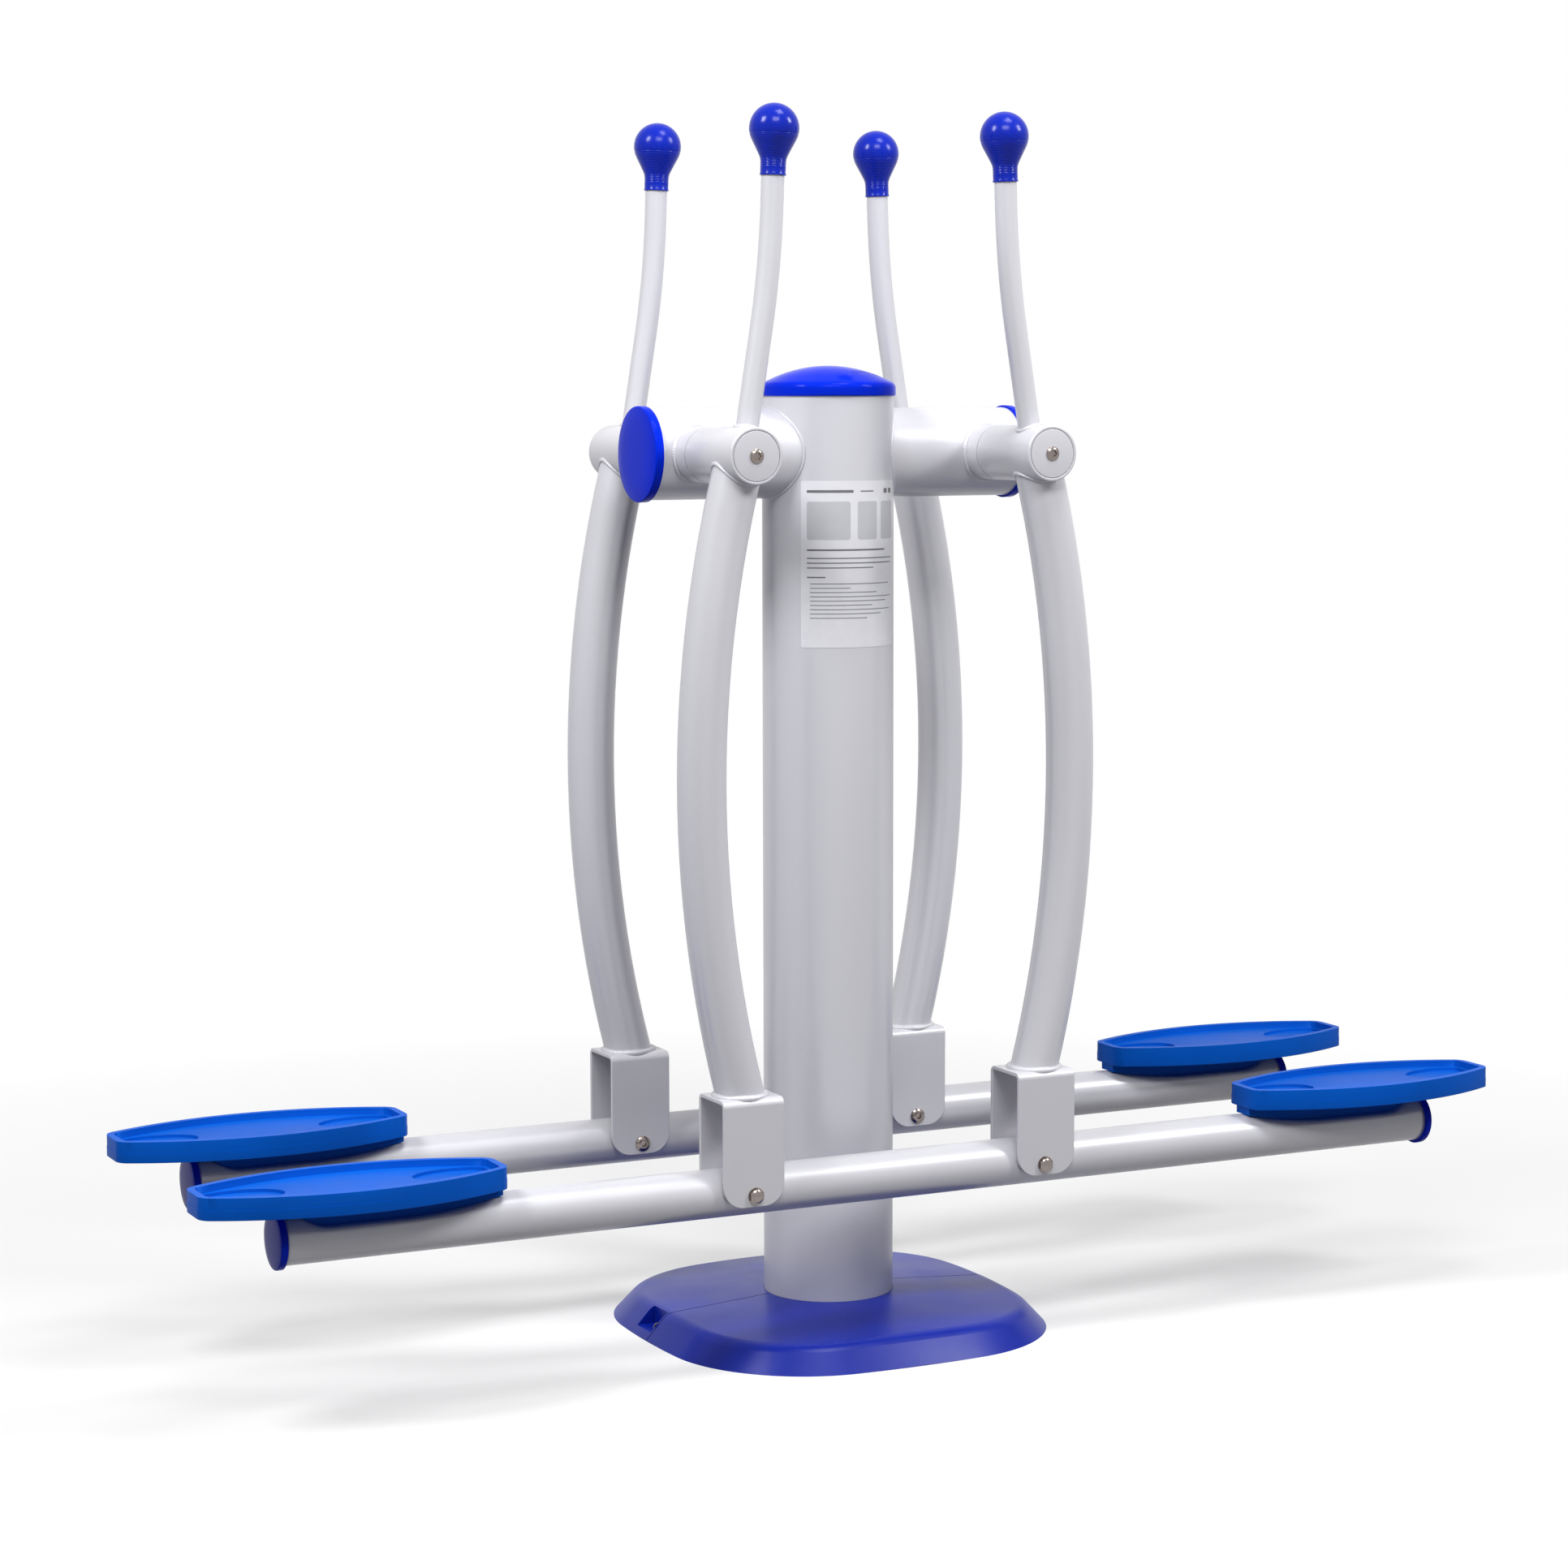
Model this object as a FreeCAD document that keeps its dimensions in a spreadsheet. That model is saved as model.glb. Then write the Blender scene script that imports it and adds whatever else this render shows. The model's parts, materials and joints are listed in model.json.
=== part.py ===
import FreeCAD
import Part
import math
import os
import Sketcher

# Outdoor air walker: two foot beams, front and rear, each hung from a left and a right arm
# that swing on a crossbeam on top of one round column. Millimetres, +Z up, +X to the right
# along the foot beams, front at -Y, origin on the ground under the column's axis.

doc = FreeCAD.newDocument("AirWalker")

# Driving dimensions

SIZES = (
    ("column_od", 168.3, "column tube, outside diameter"),
    ("column_wall", 4.5, "column tube, wall"),
    ("column_above", 72.0, "column top above the crossbeam's axis"),
    ("hub_height", 1130.0, "crossbeam and hub axes above the ground"),
    ("crossbeam_od", 114.3, "crossbeam tube, outside diameter"),
    ("crossbeam_wall", 4.5, "crossbeam tube, wall"),
    ("crossbeam_past", 50.5, "crossbeam tube, its ends beyond the hub axes"),
    ("axle_x", 204.5, "hub axis from the column's axis"),
    ("collar_end", 85.0, "fixed collar's face from the column's mid plane"),
    ("collar_od", 70.0, "fixed collar, diameter"),
    ("axle_d", 30.0, "axle in the bearings, diameter"),
    ("hub_od", 70.0, "hub tube, outside diameter"),
    ("hub_wall", 4.0, "hub tube, wall"),
    ("hub_length", 132.5, "hub tube, length"),
    ("hub_gap", 0.5, "running gap between collar and hub"),
    ("bearing_width", 16.0, "ball bearing, width"),
    ("axle_fit", 0.03, "bearing bore over the axle, on the radius"),
    ("disc_thickness", 5.0, "end disc, thickness"),
    ("disc_gap", 0.6, "end disc inside the hub's mouth, on the radius"),
    ("bearing_end_gap", 0.3, "bearing behind the end disc"),
    ("axle_screw_d", 10.0, "axle screw, shank diameter"),
    ("axle_screw_reach", 25.0, "axle screw, length in the axle"),
    ("axle_screw_head_d", 17.5, "axle screw, head diameter"),
    ("axle_screw_head", 5.0, "axle screw, head height"),
    ("arm_y", 173.0, "plane of the arms from the column's mid plane"),
    ("leg_od", 60.3, "leg tube, outside diameter"),
    ("leg_wall", 3.0, "leg tube, wall"),
    ("leg_bow", 52.0, "leg tube, how far its middle bows out"),
    ("leg_spare", 4.0, "leg tube before its lower end is cut level, degrees more of its bow"),
    ("leg_foot_out", 4.0, "leg's lower end outward of the pivot"),
    ("handle_od", 28.0, "handle tube, outside diameter"),
    ("handle_wall", 2.5, "handle tube, wall"),
    ("handle_root_in", 3.0, "handle's lower end inward of the hub axis"),
    ("handle_bend_z", 229.0, "handle's bend above the hub axis"),
    ("handle_bend_radius", 1200.0, "handle's bend, radius"),
    ("handle_lean_low", 9.2, "handle below its bend, degrees inward"),
    ("handle_lean_high", 2.0, "handle above its bend, degrees inward"),
    ("knob_neck_z", 336.0, "knob's lower end above the hub axis"),
    ("knob_height", 86.5, "knob, height"),
    ("knob_radius", 30.4, "knob, radius of its ball"),
    ("knob_neck_radius", 15.4, "knob, radius at the neck"),
    ("knob_taper", 27.5, "knob, slope of the taper below the ball in degrees"),
    ("knob_grip", 44.0, "handle tube inside the knob"),
    ("pivot_drop", 904.0, "pivot axis below the hub axis"),
    ("clevis_above", 120.0, "clevis, top above the pivot"),
    ("clevis_below", 14.0, "clevis, lower edge below the pivot"),
    ("clevis_width", 82.0, "clevis plates, width"),
    ("clevis_plate", 5.0, "clevis plate, thickness"),
    ("clevis_side_gap", 1.85, "clevis plate beside the beam tube"),
    ("clevis_bend", 9.0, "clevis, outside radius of its bends"),
    ("clevis_corner", 27.0, "clevis, radius of its lower corners"),
    ("pivot_d", 12.0, "pivot bolt, diameter"),
    ("pivot_head_d", 20.5, "pivot bolt, head diameter"),
    ("pivot_head", 5.5, "pivot bolt, head height"),
    ("pivot_fit", 0.05, "bush over the pivot bolt, on the radius"),
    ("open_pivot_gap", 0.4, "bush over the bolt at the right pivot, on the radius"),
    ("bush_od", 20.0, "bush, outside diameter"),
    ("bush_length", 24.0, "bush, length inside its sleeve"),
    ("bush_flange_d", 28.0, "bush flange, diameter"),
    ("bush_flange", 1.5, "bush flange, thickness"),
    ("sleeve_od", 28.0, "cross sleeve in the beam, outside diameter"),
    ("beam_od", 60.3, "foot beam tube, outside diameter"),
    ("beam_wall", 3.2, "foot beam tube, wall"),
    ("beam_half", 801.0, "foot beam tube, half length"),
    ("seat_depth", 15.0, "pressed seat below the tube's top"),
    ("seat_half", 45.0, "pressed seat, half length of its flat"),
    ("seat_inset", 101.0, "pressed seat, middle from the tube's end"),
    ("seat_ramp_in", 130.0, "pressed seat, ramp towards the column"),
    ("seat_ramp_out", 36.0, "pressed seat, ramp towards the tube's end"),
    ("pad_inset", 86.0, "foot pad, middle from the tube's end"),
    ("pad_half", 190.0, "foot pad, half length"),
    ("pad_width", 156.0, "foot pad, width at its middle"),
    ("pad_end_width", 60.0, "foot pad, width of its flat ends"),
    ("pad_end_taper", 0.75, "foot pad, share of an inset that narrows each half of an end"),
    ("pad_height", 26.5, "foot pad, height of its side"),
    ("pad_lift", 9.5, "foot pad's side above the tube's top"),
    ("pad_rim", 9.0, "foot pad, width of the raised rim"),
    ("pad_recess", 6.0, "foot pad, tread below the rim"),
    ("pad_pocket_depth", 4.0, "foot pad, end pockets below the tread"),
    ("pad_pocket_in", 6.0, "foot pad, end pockets inside the rim"),
    ("pad_pocket_length", 96.0, "foot pad, length of an end pocket"),
    ("pad_skin", 4.0, "foot pad, wall and floor thickness"),
    ("pad_corner", 10.0, "foot pad, radius of its four corners"),
    ("pad_edge", 2.5, "foot pad, radius of its upper and lower edges"),
    ("pad_boss_gap", 1.0, "foot pad, boss shorter than the seat at each end"),
    ("pad_boss_width", 42.0, "foot pad, width of the boss on the seat"),
    ("pad_rib", 4.0, "foot pad, thickness of the ribs below"),
    ("pad_rib_near", 76.0, "foot pad, inner ribs from its middle"),
    ("pad_rib_far", 125.0, "foot pad, outer ribs from its middle"),
    ("pad_bolt_d", 8.0, "pad bolt, diameter"),
    ("pad_bolt_pitch", 50.0, "pad bolts, distance apart"),
    ("pad_bolt_head_d", 16.0, "pad bolt, head diameter"),
    ("pad_bolt_head", 4.5, "pad bolt, head height"),
    ("pad_bolt_grip", 14.0, "pad bolt, length in the pad's boss"),
    ("pad_access_d", 20.0, "hole below each pad bolt, diameter"),
    ("cap_fit", 0.1, "plugs of the caps inside their tubes, on the radius"),
    ("cap_plug_wall", 2.5, "plugs of the caps, wall"),
    ("column_cap_radius", 87.0, "column cap, radius of its rim"),
    ("column_cap_rim", 15.0, "column cap, height of its rim"),
    ("column_cap_height", 38.5, "column cap, height above the column"),
    ("column_cap_clear", 3.0, "column cap, its plug above the crossbeam"),
    ("column_cap_round", 4.0, "column cap, radius of its rim's edge"),
    ("crossbeam_cap_radius", 60.0, "crossbeam cap, radius of its flange"),
    ("crossbeam_cap_thickness", 13.0, "crossbeam cap, thickness"),
    ("crossbeam_cap_rim", 10.0, "crossbeam cap, height of its rim"),
    ("crossbeam_cap_plug", 25.0, "crossbeam cap, depth of its plug"),
    ("beam_cap_radius", 34.6, "foot beam cap, radius of its flange"),
    ("beam_cap_thickness", 9.5, "foot beam cap, thickness"),
    ("beam_cap_rim", 6.5, "foot beam cap, height of its rim"),
    ("beam_cap_plug", 14.0, "foot beam cap, depth of its plug"),
    ("end_cap_round", 3.0, "crossbeam and foot beam caps, radius of the rim's edge"),
    ("flange_d", 300.0, "base flange, diameter"),
    ("flange_thickness", 12.0, "base flange, thickness"),
    ("anchor_pcd", 240.0, "anchor holes, pitch circle"),
    ("anchor_hole_d", 18.0, "anchor holes, diameter"),
    ("cover_half", 261.0, "base cover, half width at the middle of a side"),
    ("cover_side_radius", 1200.0, "base cover, radius of its bowed sides"),
    ("cover_corner_radius", 182.0, "base cover, radius of its corners"),
    ("cover_band", 30.0, "base cover, width and height of the sloping band round its top"),
    ("cover_crest_radius", 24.0, "base cover, rounding between top and band"),
    ("cover_slope", 4.0, "base cover, fall of its top in degrees"),
    ("cover_below", 20.0, "base cover's form below the ground, cut off"),
    ("cover_height", 49.0, "base cover, height of its sloping top over the column's axis"),
    ("cover_skin", 4.0, "base cover, wall thickness"),
    ("cover_seam", 1.6, "base cover, gap between its halves"),
    ("cover_column_gap", 0.5, "base cover round the column"),
    ("pocket_width", 44.0, "screw pocket of the cover, along the seam's normal"),
    ("pocket_length", 31.0, "screw pocket of the cover, along the seam"),
    ("pocket_floor", 9.0, "screw pocket of the cover, floor above the ground"),
    ("pocket_wall", 3.0, "screw pocket of the cover, wall"),
    ("cover_screw_lift", 1.0, "cover screw's head above the pocket's floor"),
    ("cover_screw_in", 18.0, "cover screws in from the widest place"),
    ("cover_screw_d", 6.0, "cover screw, diameter"),
    ("cover_screw_head_d", 11.0, "cover screw, head diameter"),
    ("cover_screw_head", 3.5, "cover screw, head height"),
    ("cover_screw_reach", 14.0, "cover screw, length in the front half"),
)


def make_sheet():
    sheet = doc.addObject("Spreadsheet::Sheet", "Sizes")
    for row, (alias, value, note) in enumerate(SIZES, start=1):
        sheet.set("A%d" % row, str(value))
        sheet.setAlias("A%d" % row, alias)
        sheet.set("B%d" % row, note)
    doc.recompute()
    return sheet


sheet = make_sheet()


def S(text):
    """Write the sheet's name before every word of an expression that is an alias."""
    words = sorted((alias for alias, value, note in SIZES), key=len, reverse=True)
    out, word = "", ""
    for letter in text + " ":
        if letter.isalnum() or letter == "_":
            word += letter
            continue
        out += ("Sizes." + word if word in words else word) + letter
        word = ""
    return out.strip()


def value(text):
    result = sheet.evalExpression(S(text))
    return float(getattr(result, "Value", result))


def bind(obj, **rules):
    for name, text in rules.items():
        obj.setExpression(name.replace("__", "."), S(text))


def place(obj, x="0", y="0", z="0", turn=None):
    """Put an object at a place given by expressions, turned about an axis by an angle."""
    if turn:
        axis, angle = turn
        obj.Placement = FreeCAD.Placement(FreeCAD.Vector(), FreeCAD.Rotation(FreeCAD.Vector(*axis), angle))
    for name, text in (("x", x), ("y", y), ("z", z)):
        obj.setExpression("Placement.Base." + name, S(text))
    return obj


# Places that follow from the sizes

CROSSBEAM_HALF = "(axle_x + crossbeam_past)"
SEAT_X = "(beam_half - seat_inset)"
PAD_X = "(beam_half - pad_inset)"
COLUMN_CAP_PLUG = "(column_above - crossbeam_od / 2 - column_cap_clear)"
HUB_FACE = "(collar_end + hub_gap + hub_length)"
COVER_SCREW_Z = "(pocket_floor + cover_screw_head_d / 2 + cover_screw_lift)"

X_AXIS, Y_AXIS, Z_AXIS = (1, 0, 0), (0, 1, 0), (0, 0, 1)
ALONG_X = (Y_AXIS, 90)
ALONG_Y = (X_AXIS, -90)
HALF_TURN = (Z_AXIS, 180)


# Small builders on Part objects

def cylinder(name, radius, height, x="0", y="0", z="0", turn=None):
    obj = doc.addObject("Part::Cylinder", name)
    bind(obj, Radius=radius, Height=height)
    return place(obj, x, y, z, turn)


def box(name, length, width, height, x="0", y="0", z="0"):
    obj = doc.addObject("Part::Box", name)
    bind(obj, Length=length, Width=width, Height=height)
    return place(obj, x, y, z)


def cut(name, base, tool):
    obj = doc.addObject("Part::Cut", name)
    obj.Base = base
    obj.Tool = tool
    return obj


def fuse(name, *shapes):
    obj = doc.addObject("Part::MultiFuse", name)
    obj.Shapes = list(shapes)
    return obj


def common(name, *shapes):
    obj = doc.addObject("Part::MultiCommon", name)
    obj.Shapes = list(shapes)
    return obj


def group(name, *shapes):
    obj = doc.addObject("Part::Compound", name)
    obj.Links = list(shapes)
    return obj


# Sketches and bodies

def new_body(name):
    body = doc.addObject("PartDesign::Body", name)
    body.Label = name
    return body


def new_sketch(body, name, role="XY_Plane", lift=None):
    plane = [p for p in body.Origin.OriginFeatures if p.Role == role][0]
    sketch = body.newObject("Sketcher::SketchObject", name)
    sketch.AttachmentSupport = [(plane, "")]
    sketch.MapMode = "FlatFace"
    if lift:
        sketch.setExpression("AttachmentOffset.Base.z", S(lift))
    doc.recompute([sketch])
    return sketch


def pin_point(sketch, geo, pos, x, y):
    """Hold a sketch point at coordinates given by expressions."""
    for kind, text, axis in (("DistanceX", x, -2), ("DistanceY", y, -1)):
        if text == "0":
            sketch.addConstraint(Sketcher.Constraint("PointOnObject", geo, pos, axis))
            continue
        index = sketch.addConstraint(Sketcher.Constraint(kind, -1, 1, geo, pos, value(text)))
        sketch.setExpression("Constraints[%d]" % index, S(text))


def circle(sketch, x, y, radius):
    centre = FreeCAD.Vector(value(x), value(y), 0)
    geo = sketch.addGeometry(Part.Circle(centre, FreeCAD.Vector(0, 0, 1), value(radius)), False)
    pin_point(sketch, geo, 3, x, y)
    index = sketch.addConstraint(Sketcher.Constraint("Radius", geo, value(radius)))
    sketch.setExpression("Constraints[%d]" % index, S(radius))


def arc_between(start, end, radius, side):
    """Short arc from start to end that bulges to the left (+1) or the right (-1) of the way."""
    way = end - start
    normal = FreeCAD.Vector(-way.y, way.x, 0).normalize() * side
    depth = math.sqrt(max(radius ** 2 - (way.Length / 2) ** 2, 0))
    centre = (start + end) * 0.5 - normal * depth
    angles = [math.atan2(p.y - centre.y, p.x - centre.x) for p in (start, end)]
    if side > 0:
        angles.reverse()
    round_line = Part.Circle(centre, FreeCAD.Vector(0, 0, 1), radius)
    return Part.ArcOfCircle(round_line, angles[0], angles[1])


def outline(sketch, corners):
    """Closed outline. A corner is (x, y), or (x, y, radius, side) where an arc leaves it."""
    count = len(corners)
    points = [FreeCAD.Vector(value(c[0]), value(c[1]), 0) for c in corners]
    ends = []
    for i, corner in enumerate(corners):
        start, end = points[i], points[(i + 1) % count]
        if len(corner) == 2:
            geo = sketch.addGeometry(Part.LineSegment(start, end), False)
            ends.append((geo, 1, 2))
            continue
        radius, side = corner[2], corner[3]
        geo = sketch.addGeometry(arc_between(start, end, value(radius), side), False)
        ends.append((geo, 2, 1) if side > 0 else (geo, 1, 2))
    for i, (geo, first, last) in enumerate(ends):
        following = ends[(i + 1) % count]
        sketch.addConstraint(Sketcher.Constraint("Coincident", geo, last, following[0], following[1]))
        pin_point(sketch, geo, first, corners[i][0], corners[i][1])
    for (geo, first, last), corner in zip(ends, corners):
        if len(corner) == 4:
            index = sketch.addConstraint(Sketcher.Constraint("Radius", geo, value(corner[2])))
            sketch.setExpression("Constraints[%d]" % index, S(corner[2]))


def pad(body, sketch, name, length, reverse=False, both=False):
    feature = body.newObject("PartDesign::Pad", name)
    feature.Profile = sketch
    feature.Reversed = reverse
    feature.Midplane = both
    bind(feature, Length=length)
    doc.recompute([body])
    return feature


def pocket(body, sketch, name, length=None, reverse=False, both=False):
    """Pocket of a given depth, or through everything both ways."""
    before = body.Shape.Volume
    feature = body.newObject("PartDesign::Pocket", name)
    feature.Profile = sketch
    feature.Reversed = reverse
    feature.Midplane = both
    if length:
        bind(feature, Length=length)
    else:
        feature.Type = "ThroughAll"
    doc.recompute([body])
    if body.Shape.Volume >= before:
        raise RuntimeError("the pocket %s cuts nothing" % feature.Label)
    return feature


def revolve(body, sketch, name, axis="V_Axis", angle="360"):
    feature = body.newObject("PartDesign::Revolution", name)
    feature.Profile = sketch
    feature.ReferenceAxis = (sketch, [axis])
    bind(feature, Angle=angle)
    doc.recompute([body])
    return feature


def dress(body, name, kind, size, chosen):
    """Fillet or chamfer the edges of the body's tip that the function chosen picks."""
    tip = body.Tip
    names = ["Edge%d" % (i + 1) for i, edge in enumerate(tip.Shape.Edges) if chosen(edge)]
    if not names:
        raise RuntimeError("no edge for %s" % name)
    feature = body.newObject("PartDesign::" + kind, name)
    feature.Base = (tip, names)
    feature.setExpression("Radius" if kind == "Fillet" else "Size", S(size))
    doc.recompute([body])
    return feature


def fillet(body, name, radius, chosen):
    return dress(body, name, "Fillet", radius, chosen)


def edge_runs(edge, axis):
    """True where a straight edge runs along an axis."""
    if not isinstance(edge.Curve, Part.Line):
        return False
    return abs(abs(edge.Curve.Direction.dot(FreeCAD.Vector(*axis))) - 1) < 1e-6


def revolved(name, corners, turn=None, x="0", y="0", z="0"):
    """Body of revolution about its own Z axis, from an outline in radius and height."""
    body = new_body(name)
    sketch = new_sketch(body, name + "_profile", "XZ_Plane")
    outline(sketch, corners)
    revolve(body, sketch, name + "_turned")
    return place(body, x, y, z, turn)


nodes = []


def keep(obj, name):
    """Make an object a sub-part under its own name."""
    obj.Label = name
    nodes.append(obj)
    return obj


# Column, crossbeam and base

def make_column():
    height = "hub_height + column_above - flange_thickness"
    tube = new_body("column_tube")
    ring = new_sketch(tube, "column_ring")
    circle(ring, "0", "0", "column_od / 2")
    circle(ring, "0", "0", "column_od / 2 - column_wall")
    pad(tube, ring, "column_length", height)
    mouth = new_sketch(tube, "column_mouth", "YZ_Plane")
    circle(mouth, "0", "hub_height - flange_thickness", "crossbeam_od / 2")
    pocket(tube, mouth, "column_side_holes", "column_od * 2", both=True)
    place(tube, z="flange_thickness")
    keep(tube, "column")


def make_base_flange():
    body = new_body("flange_plate")
    plate = new_sketch(body, "flange_outline")
    circle(plate, "0", "0", "flange_d / 2")
    circle(plate, "0", "0", "column_od / 2 - column_wall")
    pad(body, plate, "flange_pad", "flange_thickness")
    hole = new_sketch(body, "anchor_hole")
    circle(hole, "anchor_pcd / 2 * cos(45)", "anchor_pcd / 2 * sin(45)", "anchor_hole_d / 2")
    pocket(body, hole, "anchor_pocket", "flange_thickness", reverse=True)
    pattern = body.newObject("PartDesign::PolarPattern", "anchor_holes")
    pattern.Originals = [doc.getObject("anchor_pocket")]
    pattern.Axis = (hole, ["N_Axis"])
    pattern.Angle = 360
    pattern.Occurrences = 4
    body.Tip = pattern
    doc.recompute([body])
    keep(body, "base_flange")


def make_crossbeam():
    tube = new_body("crossbeam_tube")
    ring = new_sketch(tube, "crossbeam_ring", "YZ_Plane")
    circle(ring, "0", "0", "crossbeam_od / 2")
    circle(ring, "0", "0", "crossbeam_od / 2 - crossbeam_wall")
    pad(tube, ring, "crossbeam_length", CROSSBEAM_HALF + " * 2", both=True)
    holes = new_sketch(tube, "axle_holes", "XZ_Plane")
    for side in ("axle_x", "-axle_x"):
        circle(holes, side, "0", "axle_d / 2")
    pocket(tube, holes, "axle_cut", "crossbeam_od * 2", both=True)
    place(tube, z="hub_height")
    keep(tube, "crossbeam")


def domed_cap(name, radius, rim, height, tube_radius, plug, turn, x, y, z, rim_round="end_cap_round"):
    """Cap with a rounded rim, a shallow dome and a plug that fits inside its tube."""
    rise = "(%s - %s)" % (height, rim)
    top_radius = "(%s - %s)" % (radius, rim_round)
    dome = "((%s ^ 2 + %s ^ 2) / (2 * %s))" % (top_radius, rise, rise)
    plug_radius = "(%s - cap_fit)" % tube_radius
    inner = "(%s - cap_plug_wall)" % plug_radius
    corners = (
        ("0", height, dome, 1),
        (top_radius, rim, rim_round, 1),
        (radius, "%s - %s" % (rim, rim_round)),
        (radius, "0"),
        (plug_radius, "0"),
        (plug_radius, "-" + plug),
        (inner, "-" + plug),
        (inner, "cap_plug_wall"),
        ("0", "cap_plug_wall"),
    )
    return revolved(name, corners, turn, x, y, z)


def make_caps():
    cap = domed_cap("column_cap_solid", "column_cap_radius", "column_cap_rim", "column_cap_height",
                    "(column_od / 2 - column_wall)", COLUMN_CAP_PLUG, None,
                    "0", "0", "hub_height + column_above", "column_cap_round")
    keep(cap, "column_cap")
    for side, sign, angle in (("left", "-", -90), ("right", "", 90)):
        cap = domed_cap("crossbeam_cap_%s_solid" % side, "crossbeam_cap_radius",
                        "crossbeam_cap_rim", "crossbeam_cap_thickness",
                        "(crossbeam_od / 2 - crossbeam_wall)", "crossbeam_cap_plug",
                        (Y_AXIS, angle), sign + CROSSBEAM_HALF, "0", "hub_height")
        keep(cap, "crossbeam_cap_" + side)


def make_axle(side, sign):
    """Bar through the crossbeam with a collar welded to the crossbeam's front and rear."""
    x = sign + "axle_x"
    tag = "axle_%s_" % side
    reach = "(%s - disc_thickness)" % HUB_FACE
    bar = cylinder(tag + "bar", "axle_d / 2", "2 * " + reach, x, "-" + reach, "hub_height", ALONG_Y)
    collars = cylinder(tag + "collars", "collar_od / 2", "2 * collar_end", x, "-collar_end",
                       "hub_height", ALONG_Y)
    core = cylinder(tag + "core", "crossbeam_od / 2", CROSSBEAM_HALF + " * 4", "-2 * " + CROSSBEAM_HALF,
                    "0", "hub_height", ALONG_X)
    saddles = cut(tag + "saddles", collars, core)
    whole = fuse(tag + "whole", bar, saddles)
    screws = cylinder(tag + "screw_holes", "axle_screw_d / 2", "2 * " + reach, x, "-" + reach,
                      "hub_height", ALONG_Y)
    middle = "2 * (%s - axle_screw_reach)" % reach
    keeper = cylinder(tag + "keeper", "axle_d / 2", middle, x, "-(%s) / 2" % middle,
                      "hub_height", ALONG_Y)
    blind = cut(tag + "blind_holes", screws, keeper)
    keep(cut("axle_" + side, whole, blind), "axle_" + side)


HEAD_SIDE = "0.35"  # share of a head's height that is its straight side


def screw(name, shank_d, reach, head_d, head, turn, x, y, z):
    """Button-head screw: its head stands on the local plane z = 0, its shank goes below."""
    corners = (
        ("0", head),
        (head_d + " / 4", head),
        (head_d + " / 2", head + " * " + HEAD_SIDE),
        (head_d + " / 2", "0"),
        (shank_d + " / 2", "0"),
        (shank_d + " / 2", "-" + reach),
        ("0", "-" + reach),
    )
    return revolved(name, corners, turn, x, y, z)


ROWS = (("front", "-", (X_AXIS, 90)), ("rear", "", (X_AXIS, -90)))
SIDES = (("left", "-"), ("right", ""))


def make_axle_ends():
    """Discs that close the hubs, each held on its axle by one screw."""
    screws = []
    for row, row_sign, turn in ROWS:
        for side, side_sign in SIDES:
            x = side_sign + "axle_x"
            name = "axle_disc_%s_%s" % (row, side)
            outer = "hub_od / 2 - hub_wall - disc_gap"
            bore = "axle_screw_d / 2"
            corners = ((bore, "0"), (outer, "0"), (outer, "disc_thickness"), (bore, "disc_thickness"))
            disc = revolved(name + "_solid", corners, turn, x,
                            "%s(%s - disc_thickness)" % (row_sign, HUB_FACE), "hub_height")
            keep(disc, name)
            screws.append(screw("axle_screw_%s_%s" % (row, side), "axle_screw_d",
                                "(axle_screw_reach + disc_thickness)", "axle_screw_head_d",
                                "axle_screw_head", turn, x, row_sign + HUB_FACE, "hub_height"))
    keep(group("axle_screw_set", *screws), "axle_screws")


# Base cover: a low shell in two halves

def cover_outline(sketch, inset):
    """Square outline with bowed sides and round corners that meet them smoothly."""
    half = "(cover_half - %s)" % inset
    side_r = "(cover_side_radius - %s)" % inset
    corner_r = "(cover_corner_radius - %s)" % inset
    away = "(%s - %s)" % (side_r, half)
    diagonal = "((sqrt(2 * (%s - %s) ^ 2 - %s ^ 2) - %s) / 2)" % (side_r, corner_r, away, away)
    reach = "(%s / (%s - %s))" % (side_r, side_r, corner_r)
    far = "((%s + %s) * %s - %s)" % (diagonal, away, reach, away)
    near = "(%s * %s)" % (diagonal, reach)
    outline(sketch, (
        (far, "-" + near, side_r, -1), (far, near, corner_r, -1),
        (near, far, side_r, -1), ("-" + near, far, corner_r, -1),
        ("-" + far, near, side_r, -1), ("-" + far, "-" + near, corner_r, -1),
        ("-" + near, "-" + far, side_r, -1), (near, "-" + far, corner_r, -1),
    ))


def cover_form(name, inset):
    """Block of the cover's outline with a sloping top, a sloping band round it and a soft crest."""
    body = new_body(name)
    plan = new_sketch(body, name + "_plan", lift="-cover_below")
    cover_outline(plan, inset)
    pad(body, plan, name + "_block", "cover_height - %s + cover_below" % inset)
    top = "(cover_height - %s)" % inset
    edge = "(cover_half * 2)"
    sagged = "(%s - %s * tan(cover_slope))" % (top, edge)
    over = "(%s + cover_below)" % top
    above = new_sketch(body, name + "_above_top", "XZ_Plane")
    outline(above, (("0", top), (edge, sagged), (edge, over), ("0", over)))
    groove = body.newObject("PartDesign::Groove", name + "_slope")
    groove.Profile = above
    groove.ReferenceAxis = (above, ["V_Axis"])
    groove.Angle = 360
    doc.recompute([body])
    band = "(cover_band - %s * (2 - sqrt(2)))" % inset
    foot = value("%s - cover_half * tan(cover_slope) - %s" % (top, band))
    dress(body, name + "_band", "Chamfer", band,
          lambda e: e.BoundBox.ZMin > foot and not edge_runs(e, Z_AXIS))
    crest = foot + value(band) / 2
    fillet(body, name + "_crest", "cover_crest_radius - %s" % inset,
           lambda e: e.BoundBox.ZMin > crest and not edge_runs(e, Z_AXIS))
    return body


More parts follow.
